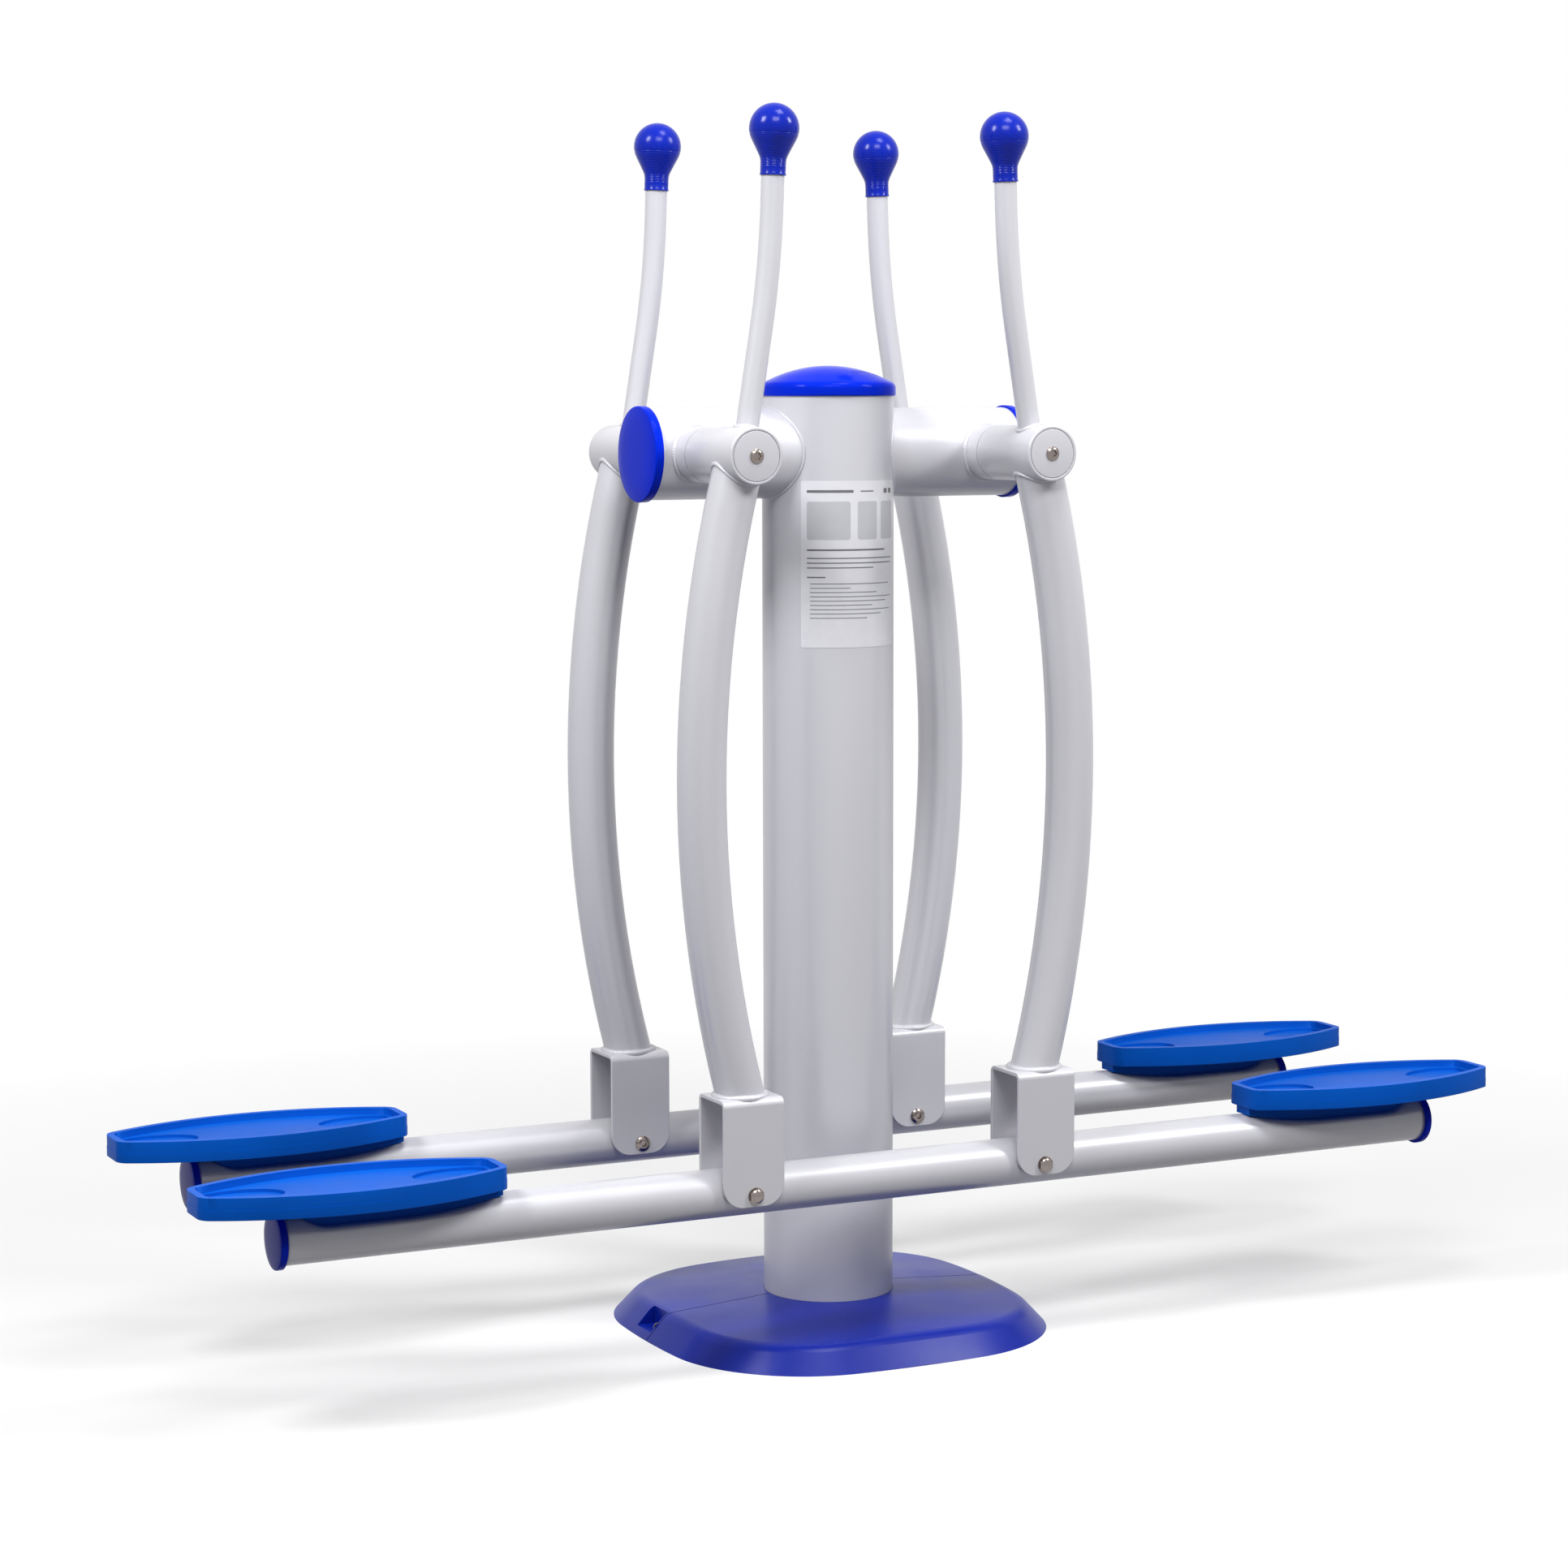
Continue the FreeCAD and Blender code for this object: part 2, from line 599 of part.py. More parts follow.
def make_base_cover():
    """Shell cut in two along the seam, with a screw pocket or a screw boss at each end."""
    wide = "cover_half * 4"
    outer = cover_form("cover_outer", "0")
    inner = cover_form("cover_inner", "cover_skin")
    shell = cut("cover_shell", outer, inner)
    for row, start in (("front", "-(%s) - cover_seam / 2" % wide), ("rear", "cover_seam / 2")):
        tag = "cover_%s_" % row
        blocks, cuts = [], []
        for side, side_sign in SIDES:
            middle = side_sign + "(cover_half - cover_screw_in)"
            block, *room = pocket_blocks(tag + side, row, middle + " - pocket_length / 2")
            blocks.append(block)
            cuts += room
        cuts.append(cylinder(tag + "column_hole", "column_od / 2 + cover_column_gap", "cover_height * 4",
                             z="-cover_height * 2"))
        side_of_seam = box(tag + "half", wide + " * 2", wide, wide, "-(%s)" % wide, start, "0")
        half_shell = common(tag + "half_shell", shell, side_of_seam)
        half_blocks = common(tag + "half_blocks", outer, side_of_seam, group(tag + "blocks", *blocks))
        whole = fuse(tag + "whole", half_shell, half_blocks)
        keep(cut("base_cover_" + row, whole, fuse(tag + "cuts", *cuts)), "base_cover_" + row)


def pocket_blocks(tag, row, start):
    """Solid block beside the seam, and what is taken out of it.

    The rear half has the pocket with the screw's head, the front half the screw's boss.
    """
    length = "pocket_length + 2 * pocket_wall"
    if row == "rear":
        block = box(tag + "_solid", length, "pocket_width + 2 * pocket_wall", "cover_height",
                    start + " - pocket_wall", "0", "0")
        room = box(tag + "_room", "pocket_length", "pocket_width", "cover_height * 2", start,
                   "pocket_wall + cover_seam / 2", "pocket_floor")
        hole = cylinder(tag + "_hole", "cover_screw_d / 2", "pocket_width", start + " + pocket_length / 2",
                        "-pocket_width / 2", COVER_SCREW_Z, ALONG_Y)
        return block, room, hole
    block = box(tag + "_boss", length, "cover_screw_reach + pocket_wall", "cover_height",
                start + " - pocket_wall", "-cover_screw_reach - pocket_wall", "0")
    hole = cylinder(tag + "_hole", "cover_screw_d / 2", "cover_screw_reach * 2",
                    start + " + pocket_length / 2", "-cover_screw_reach", COVER_SCREW_Z, ALONG_Y)
    return block, hole


def make_cover_screws():
    screws = []
    for side, side_sign in SIDES:
        middle = side_sign + "(cover_half - cover_screw_in)"
        screws.append(screw("cover_screw_" + side, "cover_screw_d",
                            "(cover_screw_reach + pocket_wall + cover_seam / 2)",
                            "cover_screw_head_d", "cover_screw_head", (X_AXIS, -90), middle,
                            "pocket_wall + cover_seam / 2", COVER_SCREW_Z))
    keep(group("cover_screw_set", *screws), "base_cover_screws")


# Arms. Each piece has its local origin where the hub's axis meets the arm's plane

def arm_place(obj, row_sign, side_sign, flip):
    place(obj, side_sign + "axle_x", row_sign + "arm_y", "hub_height", HALF_TURN if flip else None)


def make_hub(tag, row_sign, side_sign):
    """Hub tube with a seat for a ball bearing at each end; +y points away from the column."""
    inner_end = "collar_end + hub_gap - arm_y"
    hub = new_body(tag + "hub_tube")
    sketch = new_sketch(hub, tag + "hub_profile")
    bore = "hub_od / 2 - hub_wall"
    far = "collar_end + hub_gap + hub_length - arm_y"
    outline(sketch, ((bore, inner_end), ("hub_od / 2", inner_end), ("hub_od / 2", far), (bore, far)))
    revolve(hub, sketch, tag + "hub_turned")
    arm_place(hub, row_sign, side_sign, row_sign == "-")
    keep(hub, tag + "hub")


def ring(name, radius, bore, height, start):
    outer = cylinder(name + "_outer", radius, height, "0", start, "0", ALONG_Y)
    inner = cylinder(name + "_inner", bore, height, "0", start, "0", ALONG_Y)
    return cut(name, outer, inner)


def make_bearings(tag, row_sign, side_sign):
    first = "collar_end + hub_gap + bearing_end_gap - arm_y"
    second = "collar_end + hub_gap + hub_length - disc_thickness - bearing_end_gap - bearing_width - arm_y"
    rings = [ring(tag + name, "hub_od / 2 - hub_wall", "axle_d / 2 + axle_fit", "bearing_width", start)
             for name, start in (("bearing_inner", first), ("bearing_outer", second))]
    pair = group(tag + "bearing_pair", *rings)
    arm_place(pair, row_sign, side_sign, row_sign == "-")
    keep(pair, tag + "bearings")


LEG_DROP = "(pivot_drop - clevis_above)"
LEG_CHORD = "(sqrt(%s ^ 2 + leg_foot_out ^ 2))" % LEG_DROP
LEG_RADIUS = "(%s ^ 2 / (8 * leg_bow) + leg_bow / 2)" % LEG_CHORD


def bowed_tube(name):
    """Tube along an arc from the hub's axis down to the clevis; its upper end runs along local -Z."""
    body = new_body(name)
    section = new_sketch(body, name + "_section")
    circle(section, "0", "0", "leg_od / 2")
    circle(section, "0", "0", "leg_od / 2 - leg_wall")
    ends = [FreeCAD.Vector(-value(LEG_RADIUS), y, 0) for y in (0, value("leg_od"))]
    axis = section.addGeometry(Part.LineSegment(*ends), True)
    for pos, y in ((1, "0"), (2, "leg_od")):
        pin_point(section, axis, pos, "-" + LEG_RADIUS, y)
    half_turn = "asin(%s / 2 / %s)" % (LEG_CHORD, LEG_RADIUS)
    revolve(body, section, name + "_bow", "Axis0", "2 * %s + leg_spare * 1 deg" % half_turn)
    lean = "-%s - atan(leg_foot_out / %s)" % (half_turn, LEG_DROP)
    body.setExpression("Placement.Rotation.Pitch", S(lean))
    return body


def make_leg(tag, row_sign, side_sign):
    tube = bowed_tube(tag + "leg_tube")
    hub = cylinder(tag + "leg_saddle", "hub_od / 2", "leg_od * 2", "0", "-leg_od", "0", ALONG_Y)
    floor = box(tag + "leg_floor", "pivot_drop", "pivot_drop", "pivot_drop", "-pivot_drop / 2",
                "-pivot_drop / 2", "-%s - pivot_drop" % LEG_DROP)
    leg = cut(tag + "leg_solid", tube, fuse(tag + "leg_cuts", hub, floor))
    arm_place(leg, row_sign, side_sign, side_sign == "-")
    keep(leg, tag + "leg")


def handle_path(body, name):
    """Straight, bent and straight again. The lower straight runs along the local Z axis."""
    sketch = new_sketch(body, name, "XZ_Plane")
    turn = "(handle_lean_low - handle_lean_high)"
    low_length = "(handle_bend_z / cos(handle_lean_low) - handle_bend_radius * tan(%s / 2))" % turn
    high_length = "((knob_neck_z - handle_bend_z) / cos(handle_lean_high) + knob_grip" \
        " - handle_bend_radius * tan(%s / 2))" % turn
    bend_x = "handle_bend_radius * (1 - cos(%s))" % turn
    bend_z = "%s + handle_bend_radius * sin(%s)" % (low_length, turn)
    points = (
        ("0", "0"),
        ("0", low_length),
        (bend_x, bend_z),
        ("%s + %s * sin(%s)" % (bend_x, high_length, turn),
         "%s + %s * cos(%s)" % (bend_z, high_length, turn)),
    )
    spots = [FreeCAD.Vector(value(x), value(y), 0) for x, y in points]
    low = sketch.addGeometry(Part.LineSegment(spots[0], spots[1]), False)
    bend = sketch.addGeometry(arc_between(spots[1], spots[2], value("handle_bend_radius"), 1), False)
    high = sketch.addGeometry(Part.LineSegment(spots[2], spots[3]), False)
    for geo, pos, point in ((low, 1, 0), (low, 2, 1), (high, 1, 2), (high, 2, 3)):
        pin_point(sketch, geo, pos, *points[point])
    sketch.addConstraint(Sketcher.Constraint("Coincident", bend, 2, low, 2))
    sketch.addConstraint(Sketcher.Constraint("Coincident", bend, 1, high, 1))
    index = sketch.addConstraint(Sketcher.Constraint("Radius", bend, value("handle_bend_radius")))
    sketch.setExpression("Constraints[%d]" % index, S("handle_bend_radius"))
    doc.recompute([sketch])
    return sketch


def handle_pipe(name):
    body = new_body(name)
    section = new_sketch(body, name + "_section")
    circle(section, "0", "0", "handle_od / 2")
    circle(section, "0", "0", "handle_od / 2 - handle_wall")
    path = handle_path(body, name + "_path")
    pipe = body.newObject("PartDesign::AdditivePipe", name + "_pipe")
    pipe.Profile = section
    pipe.Spine = (path, ["Edge1", "Edge2", "Edge3"])
    doc.recompute([body])
    body.setExpression("Placement.Rotation.Pitch", "-" + S("handle_lean_low"))
    return place(body, "-handle_root_in")


def make_handle(tag, row_sign, side_sign):
    tube = handle_pipe(tag + "handle_pipe")
    hub = cylinder(tag + "handle_saddle", "hub_od / 2", "handle_od * 4", "0", "-handle_od * 2", "0", ALONG_Y)
    handle = cut(tag + "handle_solid", tube, hub)
    arm_place(handle, row_sign, side_sign, side_sign == "-")
    keep(handle, tag + "handle")


def make_knob(tag, row_sign, side_sign):
    """Ball on a taper and a straight neck, with a blind bore for the handle's end."""
    bore = "handle_od / 2"
    centre = "(knob_height - knob_radius)"
    taper_radius = "(knob_radius * cos(knob_taper))"
    taper_top = "(%s - knob_radius * sin(knob_taper))" % centre
    neck = "(%s - (%s - knob_neck_radius) / tan(knob_taper))" % (taper_top, taper_radius)
    corners = (
        ("0", "knob_height", "knob_radius", 1),
        (taper_radius, taper_top),
        ("knob_neck_radius", neck),
        ("knob_neck_radius", "0"),
        (bore, "0"),
        (bore, "knob_grip"),
        ("0", "knob_grip"),
    )
    x = "-(handle_root_in + handle_bend_z * tan(handle_lean_low)" \
        " + (knob_neck_z - handle_bend_z) * tan(handle_lean_high))"
    knob = new_body(tag + "knob_solid")
    sketch = new_sketch(knob, tag + "knob_profile", "XZ_Plane")
    outline(sketch, corners)
    revolve(knob, sketch, tag + "knob_turned")
    place(knob, "%s(axle_x + %s)" % (side_sign, x), row_sign + "arm_y", "hub_height + knob_neck_z")
    lean = "handle_lean_high" if side_sign else "-handle_lean_high"
    knob.setExpression("Placement.Rotation.Pitch", S(lean))
    keep(knob, tag + "knob")


def make_clevis(tag, row_sign, side_sign):
    """Plate bent into an inverted U, with rounded lower corners and the bolt's holes."""
    body = new_body(tag + "clevis_plate")
    depth = "(beam_od + 2 * clevis_side_gap + 2 * clevis_plate)"
    front = new_sketch(body, tag + "clevis_front", "XZ_Plane")
    left, right = "-clevis_width / 2 + leg_foot_out / 2", "clevis_width / 2 + leg_foot_out / 2"
    top, bottom = "clevis_above", "-clevis_below"
    outline(front, ((left, bottom), (right, bottom), (right, top), (left, top)))
    pad(body, front, tag + "clevis_block", depth, both=True)
    fillet(body, tag + "clevis_corners", "clevis_corner",
           lambda e: edge_runs(e, Y_AXIS) and e.BoundBox.ZMax < 0)
    fillet(body, tag + "clevis_bends", "clevis_bend",
           lambda e: edge_runs(e, X_AXIS) and e.BoundBox.ZMin > 0)
    gap = new_sketch(body, tag + "clevis_gap", "YZ_Plane")
    inside = "(beam_od / 2 + clevis_side_gap)"
    roof = "clevis_above - clevis_plate"
    bend = "(clevis_bend - clevis_plate)"
    outline(gap, (("-" + inside, "-clevis_below * 2"), (inside, "-clevis_below * 2"),
                  (inside, "%s - %s" % (roof, bend), bend, -1), ("%s - %s" % (inside, bend), roof),
                  ("-%s + %s" % (inside, bend), roof, bend, -1), ("-" + inside, "%s - %s" % (roof, bend))))
    pocket(body, gap, tag + "clevis_slot", "clevis_width * 2", both=True)
    hole = new_sketch(body, tag + "clevis_hole", "XZ_Plane")
    circle(hole, "0", "0", "pivot_d / 2")
    pocket(body, hole, tag + "clevis_holes", depth + " * 2", both=True)
    place(body, side_sign + "axle_x", row_sign + "arm_y", "hub_height - pivot_drop",
          HALF_TURN if side_sign == "-" else None)
    keep(body, tag + "clevis")


def make_pivot_bolt(tag, row_sign, side_sign):
    """Bolt with a dome head towards the column and a dome nut on the far side."""
    half = "(beam_od / 2 + clevis_side_gap + clevis_plate)"
    head = half + " + pivot_head"
    edge = half + " + pivot_head * " + HEAD_SIDE
    corners = (
        ("0", head), ("pivot_head_d / 4", head), ("pivot_head_d / 2", edge), ("pivot_head_d / 2", half),
        ("pivot_d / 2", half), ("pivot_d / 2", "-" + half), ("pivot_head_d / 2", "-" + half),
        ("pivot_head_d / 2", "-(%s)" % edge), ("pivot_head_d / 4", "-(%s)" % head), ("0", "-(%s)" % head),
    )
    bolt = revolved(tag + "pivot_bolt_solid", corners, (X_AXIS, -90), side_sign + "axle_x",
                    row_sign + "arm_y", "hub_height - pivot_drop")
    keep(bolt, tag + "pivot_bolt")


def make_arm(row, row_sign, side, side_sign):
    tag = "%s_%s_" % (row, side)
    for make in (make_hub, make_bearings, make_leg, make_handle, make_knob, make_clevis, make_pivot_bolt):
        make(tag, row_sign, side_sign)


# Foot beams. Each piece has its local origin at the middle of the beam's axis

def beam_place(obj, row_sign):
    place(obj, "0", row_sign + "arm_y", "hub_height - pivot_drop")


def press_tool(name, lower):
    """Block with the pressed seats' floors and ramps below, to cut from the tube or its bore."""
    floor = "(beam_od / 2 - seat_depth - %s)" % lower
    top = "(beam_od / 2 - %s)" % lower
    start, end = "(%s - seat_half)" % SEAT_X, "(%s + seat_half)" % SEAT_X
    blocks = []
    for side in ("left", "right"):
        body = new_body(name + "_" + side)
        sketch = new_sketch(body, name + "_" + side + "_side", "XZ_Plane")
        radius_in = "((seat_ramp_in ^ 2 + seat_depth ^ 2) / (2 * seat_depth))"
        radius_out = "((seat_ramp_out ^ 2 + seat_depth ^ 2) / (2 * seat_depth))"
        outline(sketch, (
            ("%s - seat_ramp_in" % start, top, radius_in, -1),
            (start, floor),
            (end, floor, radius_out, -1),
            ("%s + seat_ramp_out" % end, top),
            ("%s + seat_ramp_out" % end, top + " + beam_od"),
            ("%s - seat_ramp_in" % start, top + " + beam_od"),
        ))
        pad(body, sketch, name + "_" + side + "_block", "beam_od * 2", both=True)
        blocks.append(place(body, turn=HALF_TURN if side == "left" else None))
    return fuse(name, *blocks)


def make_beam_tube(tag, row_sign):
    """Tube with two pressed seats, two cross sleeves for the pivots and holes for the pad bolts.

    A bolt's head lies inside the tube under the seat, and a larger hole below lets it in.
    """
    long_way = ("-beam_half", "0", "0", ALONG_X)
    outer = cut(tag + "tube_outside", cylinder(tag + "tube_outer", "beam_od / 2", "beam_half * 2", *long_way),
                press_tool(tag + "press", "0"))
    bore = cut(tag + "tube_inside",
               cylinder(tag + "tube_bore", "beam_od / 2 - beam_wall", "beam_half * 2", *long_way),
               press_tool(tag + "press_bore", "beam_wall"))
    tube = cut(tag + "tube_wall", outer, bore)
    parts, holes = [tube], []
    for side, side_sign in SIDES:
        spot = (side_sign + "axle_x", "-beam_od / 2", "0", ALONG_Y)
        parts.append(cylinder(tag + "sleeve_" + side, "sleeve_od / 2", "beam_od", *spot))
        holes.append(cylinder(tag + "sleeve_bore_" + side, "bush_od / 2", "beam_od", *spot))
        for i, shift in enumerate(("-pad_bolt_pitch / 2", "+pad_bolt_pitch / 2")):
            x = "%s%s %s" % (side_sign, SEAT_X, shift)
            holes.append(cylinder(tag + "pad_hole_%s_%d" % (side, i), "pad_bolt_d / 2", "beam_od", x))
            holes.append(cylinder(tag + "access_hole_%s_%d" % (side, i), "pad_access_d / 2", "beam_od", x,
                                  z="-beam_od"))
    solid = cut(tag + "tube_solid", fuse(tag + "tube_parts", *parts), fuse(tag + "tube_holes", *holes))
    beam_place(solid, row_sign)
    keep(solid, tag + "tube")


def make_bushes(tag, row_sign):
    """Flanged bushes, one in each end of each cross sleeve."""
    bushes = []
    for side, side_sign, fit in (("left", "-", "pivot_fit"), ("right", "", "open_pivot_gap")):
        bore = "pivot_d / 2 + " + fit
        for end, angle, sign in (("front", 90, "-"), ("rear", -90, "")):
            corners = ((bore, "-bush_length"), ("bush_od / 2", "-bush_length"), ("bush_od / 2", "0"),
                       ("bush_flange_d / 2", "0"), ("bush_flange_d / 2", "bush_flange"),
                       (bore, "bush_flange"))
            bushes.append(revolved(tag + "bush_%s_%s" % (side, end), corners, (X_AXIS, angle),
                                   side_sign + "axle_x", sign + "beam_od / 2", "0"))
    whole = group(tag + "bush_set", *bushes)
    beam_place(whole, row_sign)
    keep(whole, tag + "bushes")


def pad_outline(sketch, inset, half, width, end_width):
    """Two flat ends and two bowed sides."""
    long_half = "(%s - %s)" % (half, inset)
    end = "(%s / 2 - %s * pad_end_taper)" % (end_width, inset)
    bow = "(%s / 2 - %s - %s)" % (width, inset, end)
    radius = "((%s ^ 2 + %s ^ 2) / (2 * %s))" % (long_half, bow, bow)
    outline(sketch, ((long_half, "-" + end), (long_half, end, radius, -1),
                     ("-" + long_half, end), ("-" + long_half, "-" + end, radius, -1)))


def make_pad(tag, row_sign, side, side_sign):
    """Foot pad: rim, tread, two end pockets, hollow below with ribs and a boss for the seat."""
    name = tag + "pad_" + side
    body = new_body(name + "_solid")
    form = ("pad_half", "pad_width", "pad_end_width")
    whole = new_sketch(body, name + "_outline")
    pad_outline(whole, "0", *form)
    pad(body, whole, name + "_block", "pad_height")
    fillet(body, name + "_corners", "pad_corner", lambda e: edge_runs(e, Z_AXIS))
    height = value("pad_height")
    fillet(body, name + "_edge", "pad_edge", lambda e: not 0.01 < e.BoundBox.ZMax < height - 0.01
           and not edge_runs(e, Z_AXIS))
    tread = new_sketch(body, name + "_tread", lift="pad_height")
    pad_outline(tread, "pad_rim", *form)
    pocket(body, tread, name + "_recess", "pad_recess")
    floor = new_sketch(body, name + "_pockets", lift="pad_height - pad_recess")
    pocket_outline(floor)
    pocket(body, floor, name + "_end_pockets", "pad_pocket_depth")
    hollow = new_sketch(body, name + "_hollow")
    pad_outline(hollow, "pad_skin", *form)
    pocket(body, hollow, name + "_underside", "pad_height - pad_recess - pad_pocket_depth - pad_skin",
           reverse=True)
    make_pad_ribs(body, name)
    make_pad_boss(body, name)
    place(body, side_sign + PAD_X, row_sign + "arm_y", "hub_height - pivot_drop + beam_od / 2 + pad_lift",
          HALF_TURN if side == "left" else None)
    keep(body, name)


def pocket_outline(sketch):
    """Two pockets, each from the rim at an end to a round tip towards the pad's middle."""
    end = "(pad_half - pad_rim - pad_pocket_in)"
    low = "(pad_end_width / 2 - pad_rim)"
    tip = "(%s - pad_pocket_length)" % end
    radius = "((%s ^ 2 + pad_pocket_length ^ 2) / (2 * %s))" % (low, low)
    outline(sketch, ((end, "-" + low), (end, low, radius, -1), (tip, "0", radius, -1)))
    outline(sketch, (("-" + end, low), ("-" + end, "-" + low, radius, -1), ("-" + tip, "0", radius, -1)))


def make_pad_ribs(body, name):
    """Ribs across the hollow underside, level with the skirt's lower edge."""
    deep = "pad_height - pad_recess - pad_pocket_depth - pad_skin"
    ribs = new_sketch(body, name + "_ribs")
    reach = "(pad_end_width / 2)"
    for x in ("-pad_rib_far", "-pad_rib_near", "pad_rib_near", "pad_rib_far"):
        left, right = "%s - pad_rib / 2" % x, "%s + pad_rib / 2" % x
        outline(ribs, ((left, "-" + reach), (right, "-" + reach), (right, reach), (left, reach)))
    pad(body, ribs, name + "_rib_walls", deep)


def make_pad_boss(body, name):
    """Boss that rests on the tube's pressed seat, with blind holes for the two bolts."""
    drop = "(pad_lift + seat_depth)"
    roof = "(pad_height - pad_recess - pad_pocket_depth - pad_skin)"
    shift = "(pad_inset - seat_inset)"
    boss = new_sketch(body, name + "_boss", lift="-" + drop)
    left, right = "%s - seat_half + pad_boss_gap" % shift, "%s + seat_half - pad_boss_gap" % shift
    half = "pad_boss_width / 2"
    outline(boss, ((left, "-" + half), (right, "-" + half), (right, half), (left, half)))
    pad(body, boss, name + "_seat_boss", "%s + %s" % (drop, roof))
    holes = new_sketch(body, name + "_bolt_holes", lift="-" + drop)
    for x in ("%s - pad_bolt_pitch / 2" % shift, "%s + pad_bolt_pitch / 2" % shift):
        circle(holes, x, "0", "pad_bolt_d / 2")
    pocket(body, holes, name + "_bolt_bores", "pad_bolt_grip", reverse=True)


def make_pad_bolts(tag, row_sign):
    """Two bolts for each pad, from inside the tube up through the seat into the pad's boss."""
    bolts = []
    reach = "(beam_wall + pad_bolt_grip)"
    for side, side_sign in SIDES:
        for i, shift in enumerate(("-pad_bolt_pitch / 2", "+pad_bolt_pitch / 2")):
            bolts.append(screw(tag + "pad_bolt_%s_%d" % (side, i), "pad_bolt_d", reach, "pad_bolt_head_d",
                               "pad_bolt_head", (X_AXIS, 180), "%s%s %s" % (side_sign, SEAT_X, shift), "0",
                               "(beam_od / 2 - seat_depth - beam_wall)"))
    whole = group(tag + "pad_bolt_set", *bolts)
    beam_place(whole, row_sign)
    keep(whole, tag + "pad_bolts")


def make_beam(row, row_sign):
    tag = row + "_beam_"
    make_beam_tube(tag, row_sign)
    make_bushes(tag, row_sign)
    make_pad_bolts(tag, row_sign)
    for side, side_sign in SIDES:
        make_pad(tag, row_sign, side, side_sign)
        cap = domed_cap(tag + "cap_%s_solid" % side, "beam_cap_radius", "beam_cap_rim",
                        "beam_cap_thickness", "(beam_od / 2 - beam_wall)", "beam_cap_plug",
                        (Y_AXIS, -90 if side == "left" else 90), side_sign + "beam_half",
                        row_sign + "arm_y", "hub_height - pivot_drop")
        keep(cap, tag + "cap_" + side)


def check_objects():
    """Stop where an object failed or a sub-part has no valid shape."""
    for obj in doc.Objects:
        if any(word in obj.State for word in ("Invalid", "Error")):
            raise RuntimeError("%s (%s) failed: %s" % (obj.Name, obj.Label, obj.State))
    for obj in nodes:
        if obj.Shape.isNull() or not obj.Shape.isValid():
            raise RuntimeError("%s has no valid shape" % obj.Label)


def main():
    make_column()
    make_base_flange()
    make_crossbeam()
    make_caps()
    for side, side_sign in SIDES:
        make_axle(side, side_sign)
    make_axle_ends()
    make_base_cover()
    make_cover_screws()
    for row, row_sign, turn in ROWS:
        for side, side_sign in SIDES:
            make_arm(row, row_sign, side, side_sign)
        make_beam(row, row_sign)
    doc.recompute()
    check_objects()
    os.makedirs("parts", exist_ok=True)
    for obj in nodes:
        obj.Shape.exportStep(os.path.join("parts", obj.Label + ".step"))
    print("sub-parts: %d" % len(nodes))


main()
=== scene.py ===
"""Looks of the outdoor air walker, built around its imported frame."""

import json
import math

import bmesh
import bpy
from bpy.props import FloatProperty, FloatVectorProperty, IntProperty, PointerProperty
from mathutils import Matrix, Vector


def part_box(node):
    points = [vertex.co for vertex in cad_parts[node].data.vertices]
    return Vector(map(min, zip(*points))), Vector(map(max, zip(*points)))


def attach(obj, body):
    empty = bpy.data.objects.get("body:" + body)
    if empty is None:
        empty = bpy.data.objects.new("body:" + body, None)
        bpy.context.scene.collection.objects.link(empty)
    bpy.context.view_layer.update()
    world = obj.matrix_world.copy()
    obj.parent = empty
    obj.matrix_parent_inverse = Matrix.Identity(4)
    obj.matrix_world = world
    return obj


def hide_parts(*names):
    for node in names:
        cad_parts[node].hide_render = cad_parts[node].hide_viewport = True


bl_info = {
    "name": "Outdoor Air Walker Looks",
    "version": (1, 0, 0),
    "blender": (4, 5, 0),
    "location": "3D View > Sidebar > Air Walker",
    "description": "Finishes, moulded parts, welds, fasteners and stage",
    "category": "Object",
}

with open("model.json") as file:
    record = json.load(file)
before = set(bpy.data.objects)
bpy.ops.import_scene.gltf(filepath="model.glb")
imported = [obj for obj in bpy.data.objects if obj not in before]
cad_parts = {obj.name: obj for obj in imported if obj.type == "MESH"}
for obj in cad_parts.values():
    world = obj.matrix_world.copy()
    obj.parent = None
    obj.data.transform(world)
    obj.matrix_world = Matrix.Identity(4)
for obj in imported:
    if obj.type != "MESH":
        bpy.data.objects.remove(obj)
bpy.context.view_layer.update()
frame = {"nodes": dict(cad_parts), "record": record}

ROWS = {"front": -1, "rear": 1}
SIDES = {"left": -1, "right": 1}
MM = 0.001


def arms():
    """Name of each of the four arms, with the signs of its place along Y and X."""
    return [("%s_%s" % (row, side), out, sign) for row, out in ROWS.items() for side, sign in SIDES.items()]


def middle(node):
    low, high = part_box(node)
    return (low + high) / 2


def extent(node):
    low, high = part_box(node)
    return high - low


COLUMN_RADIUS = extent("column").y / 2
CROSSBEAM_RADIUS = extent("crossbeam").z / 2
HUB_RADIUS = extent("front_right_hub").z / 2
HUB_HEIGHT = middle("front_right_hub").z
AXLE_X = middle("front_right_hub").x
BEAM_RADIUS = extent("front_beam_tube").y / 2
BEAM_HEIGHT = middle("front_right_pivot_bolt").z

# Lean of the arms' tubes from the vertical where they meet the hub and the clevis
LEG_LEAN, HANDLE_LEAN, LEG_FOOT_LEAN = map(math.radians, (14.8, 9.2, 15.4))

# Softboxes that are aimed at a point above the ground: place, width and height in m
LAMP_TARGET = (0, 0, 0.7)
SOFTBOXES = {"key": ((0.4, -0.9, 3.9), 0.9, 0.9), "left": ((-2.3, -0.4, 3.0), 0.6, 0.9),
             "right": ((2.1, -1.7, 2.9), 0.6, 0.9), "front": ((-0.9, -2.7, 3.6), 1.6, 1.0)}


# Settings that a user would change

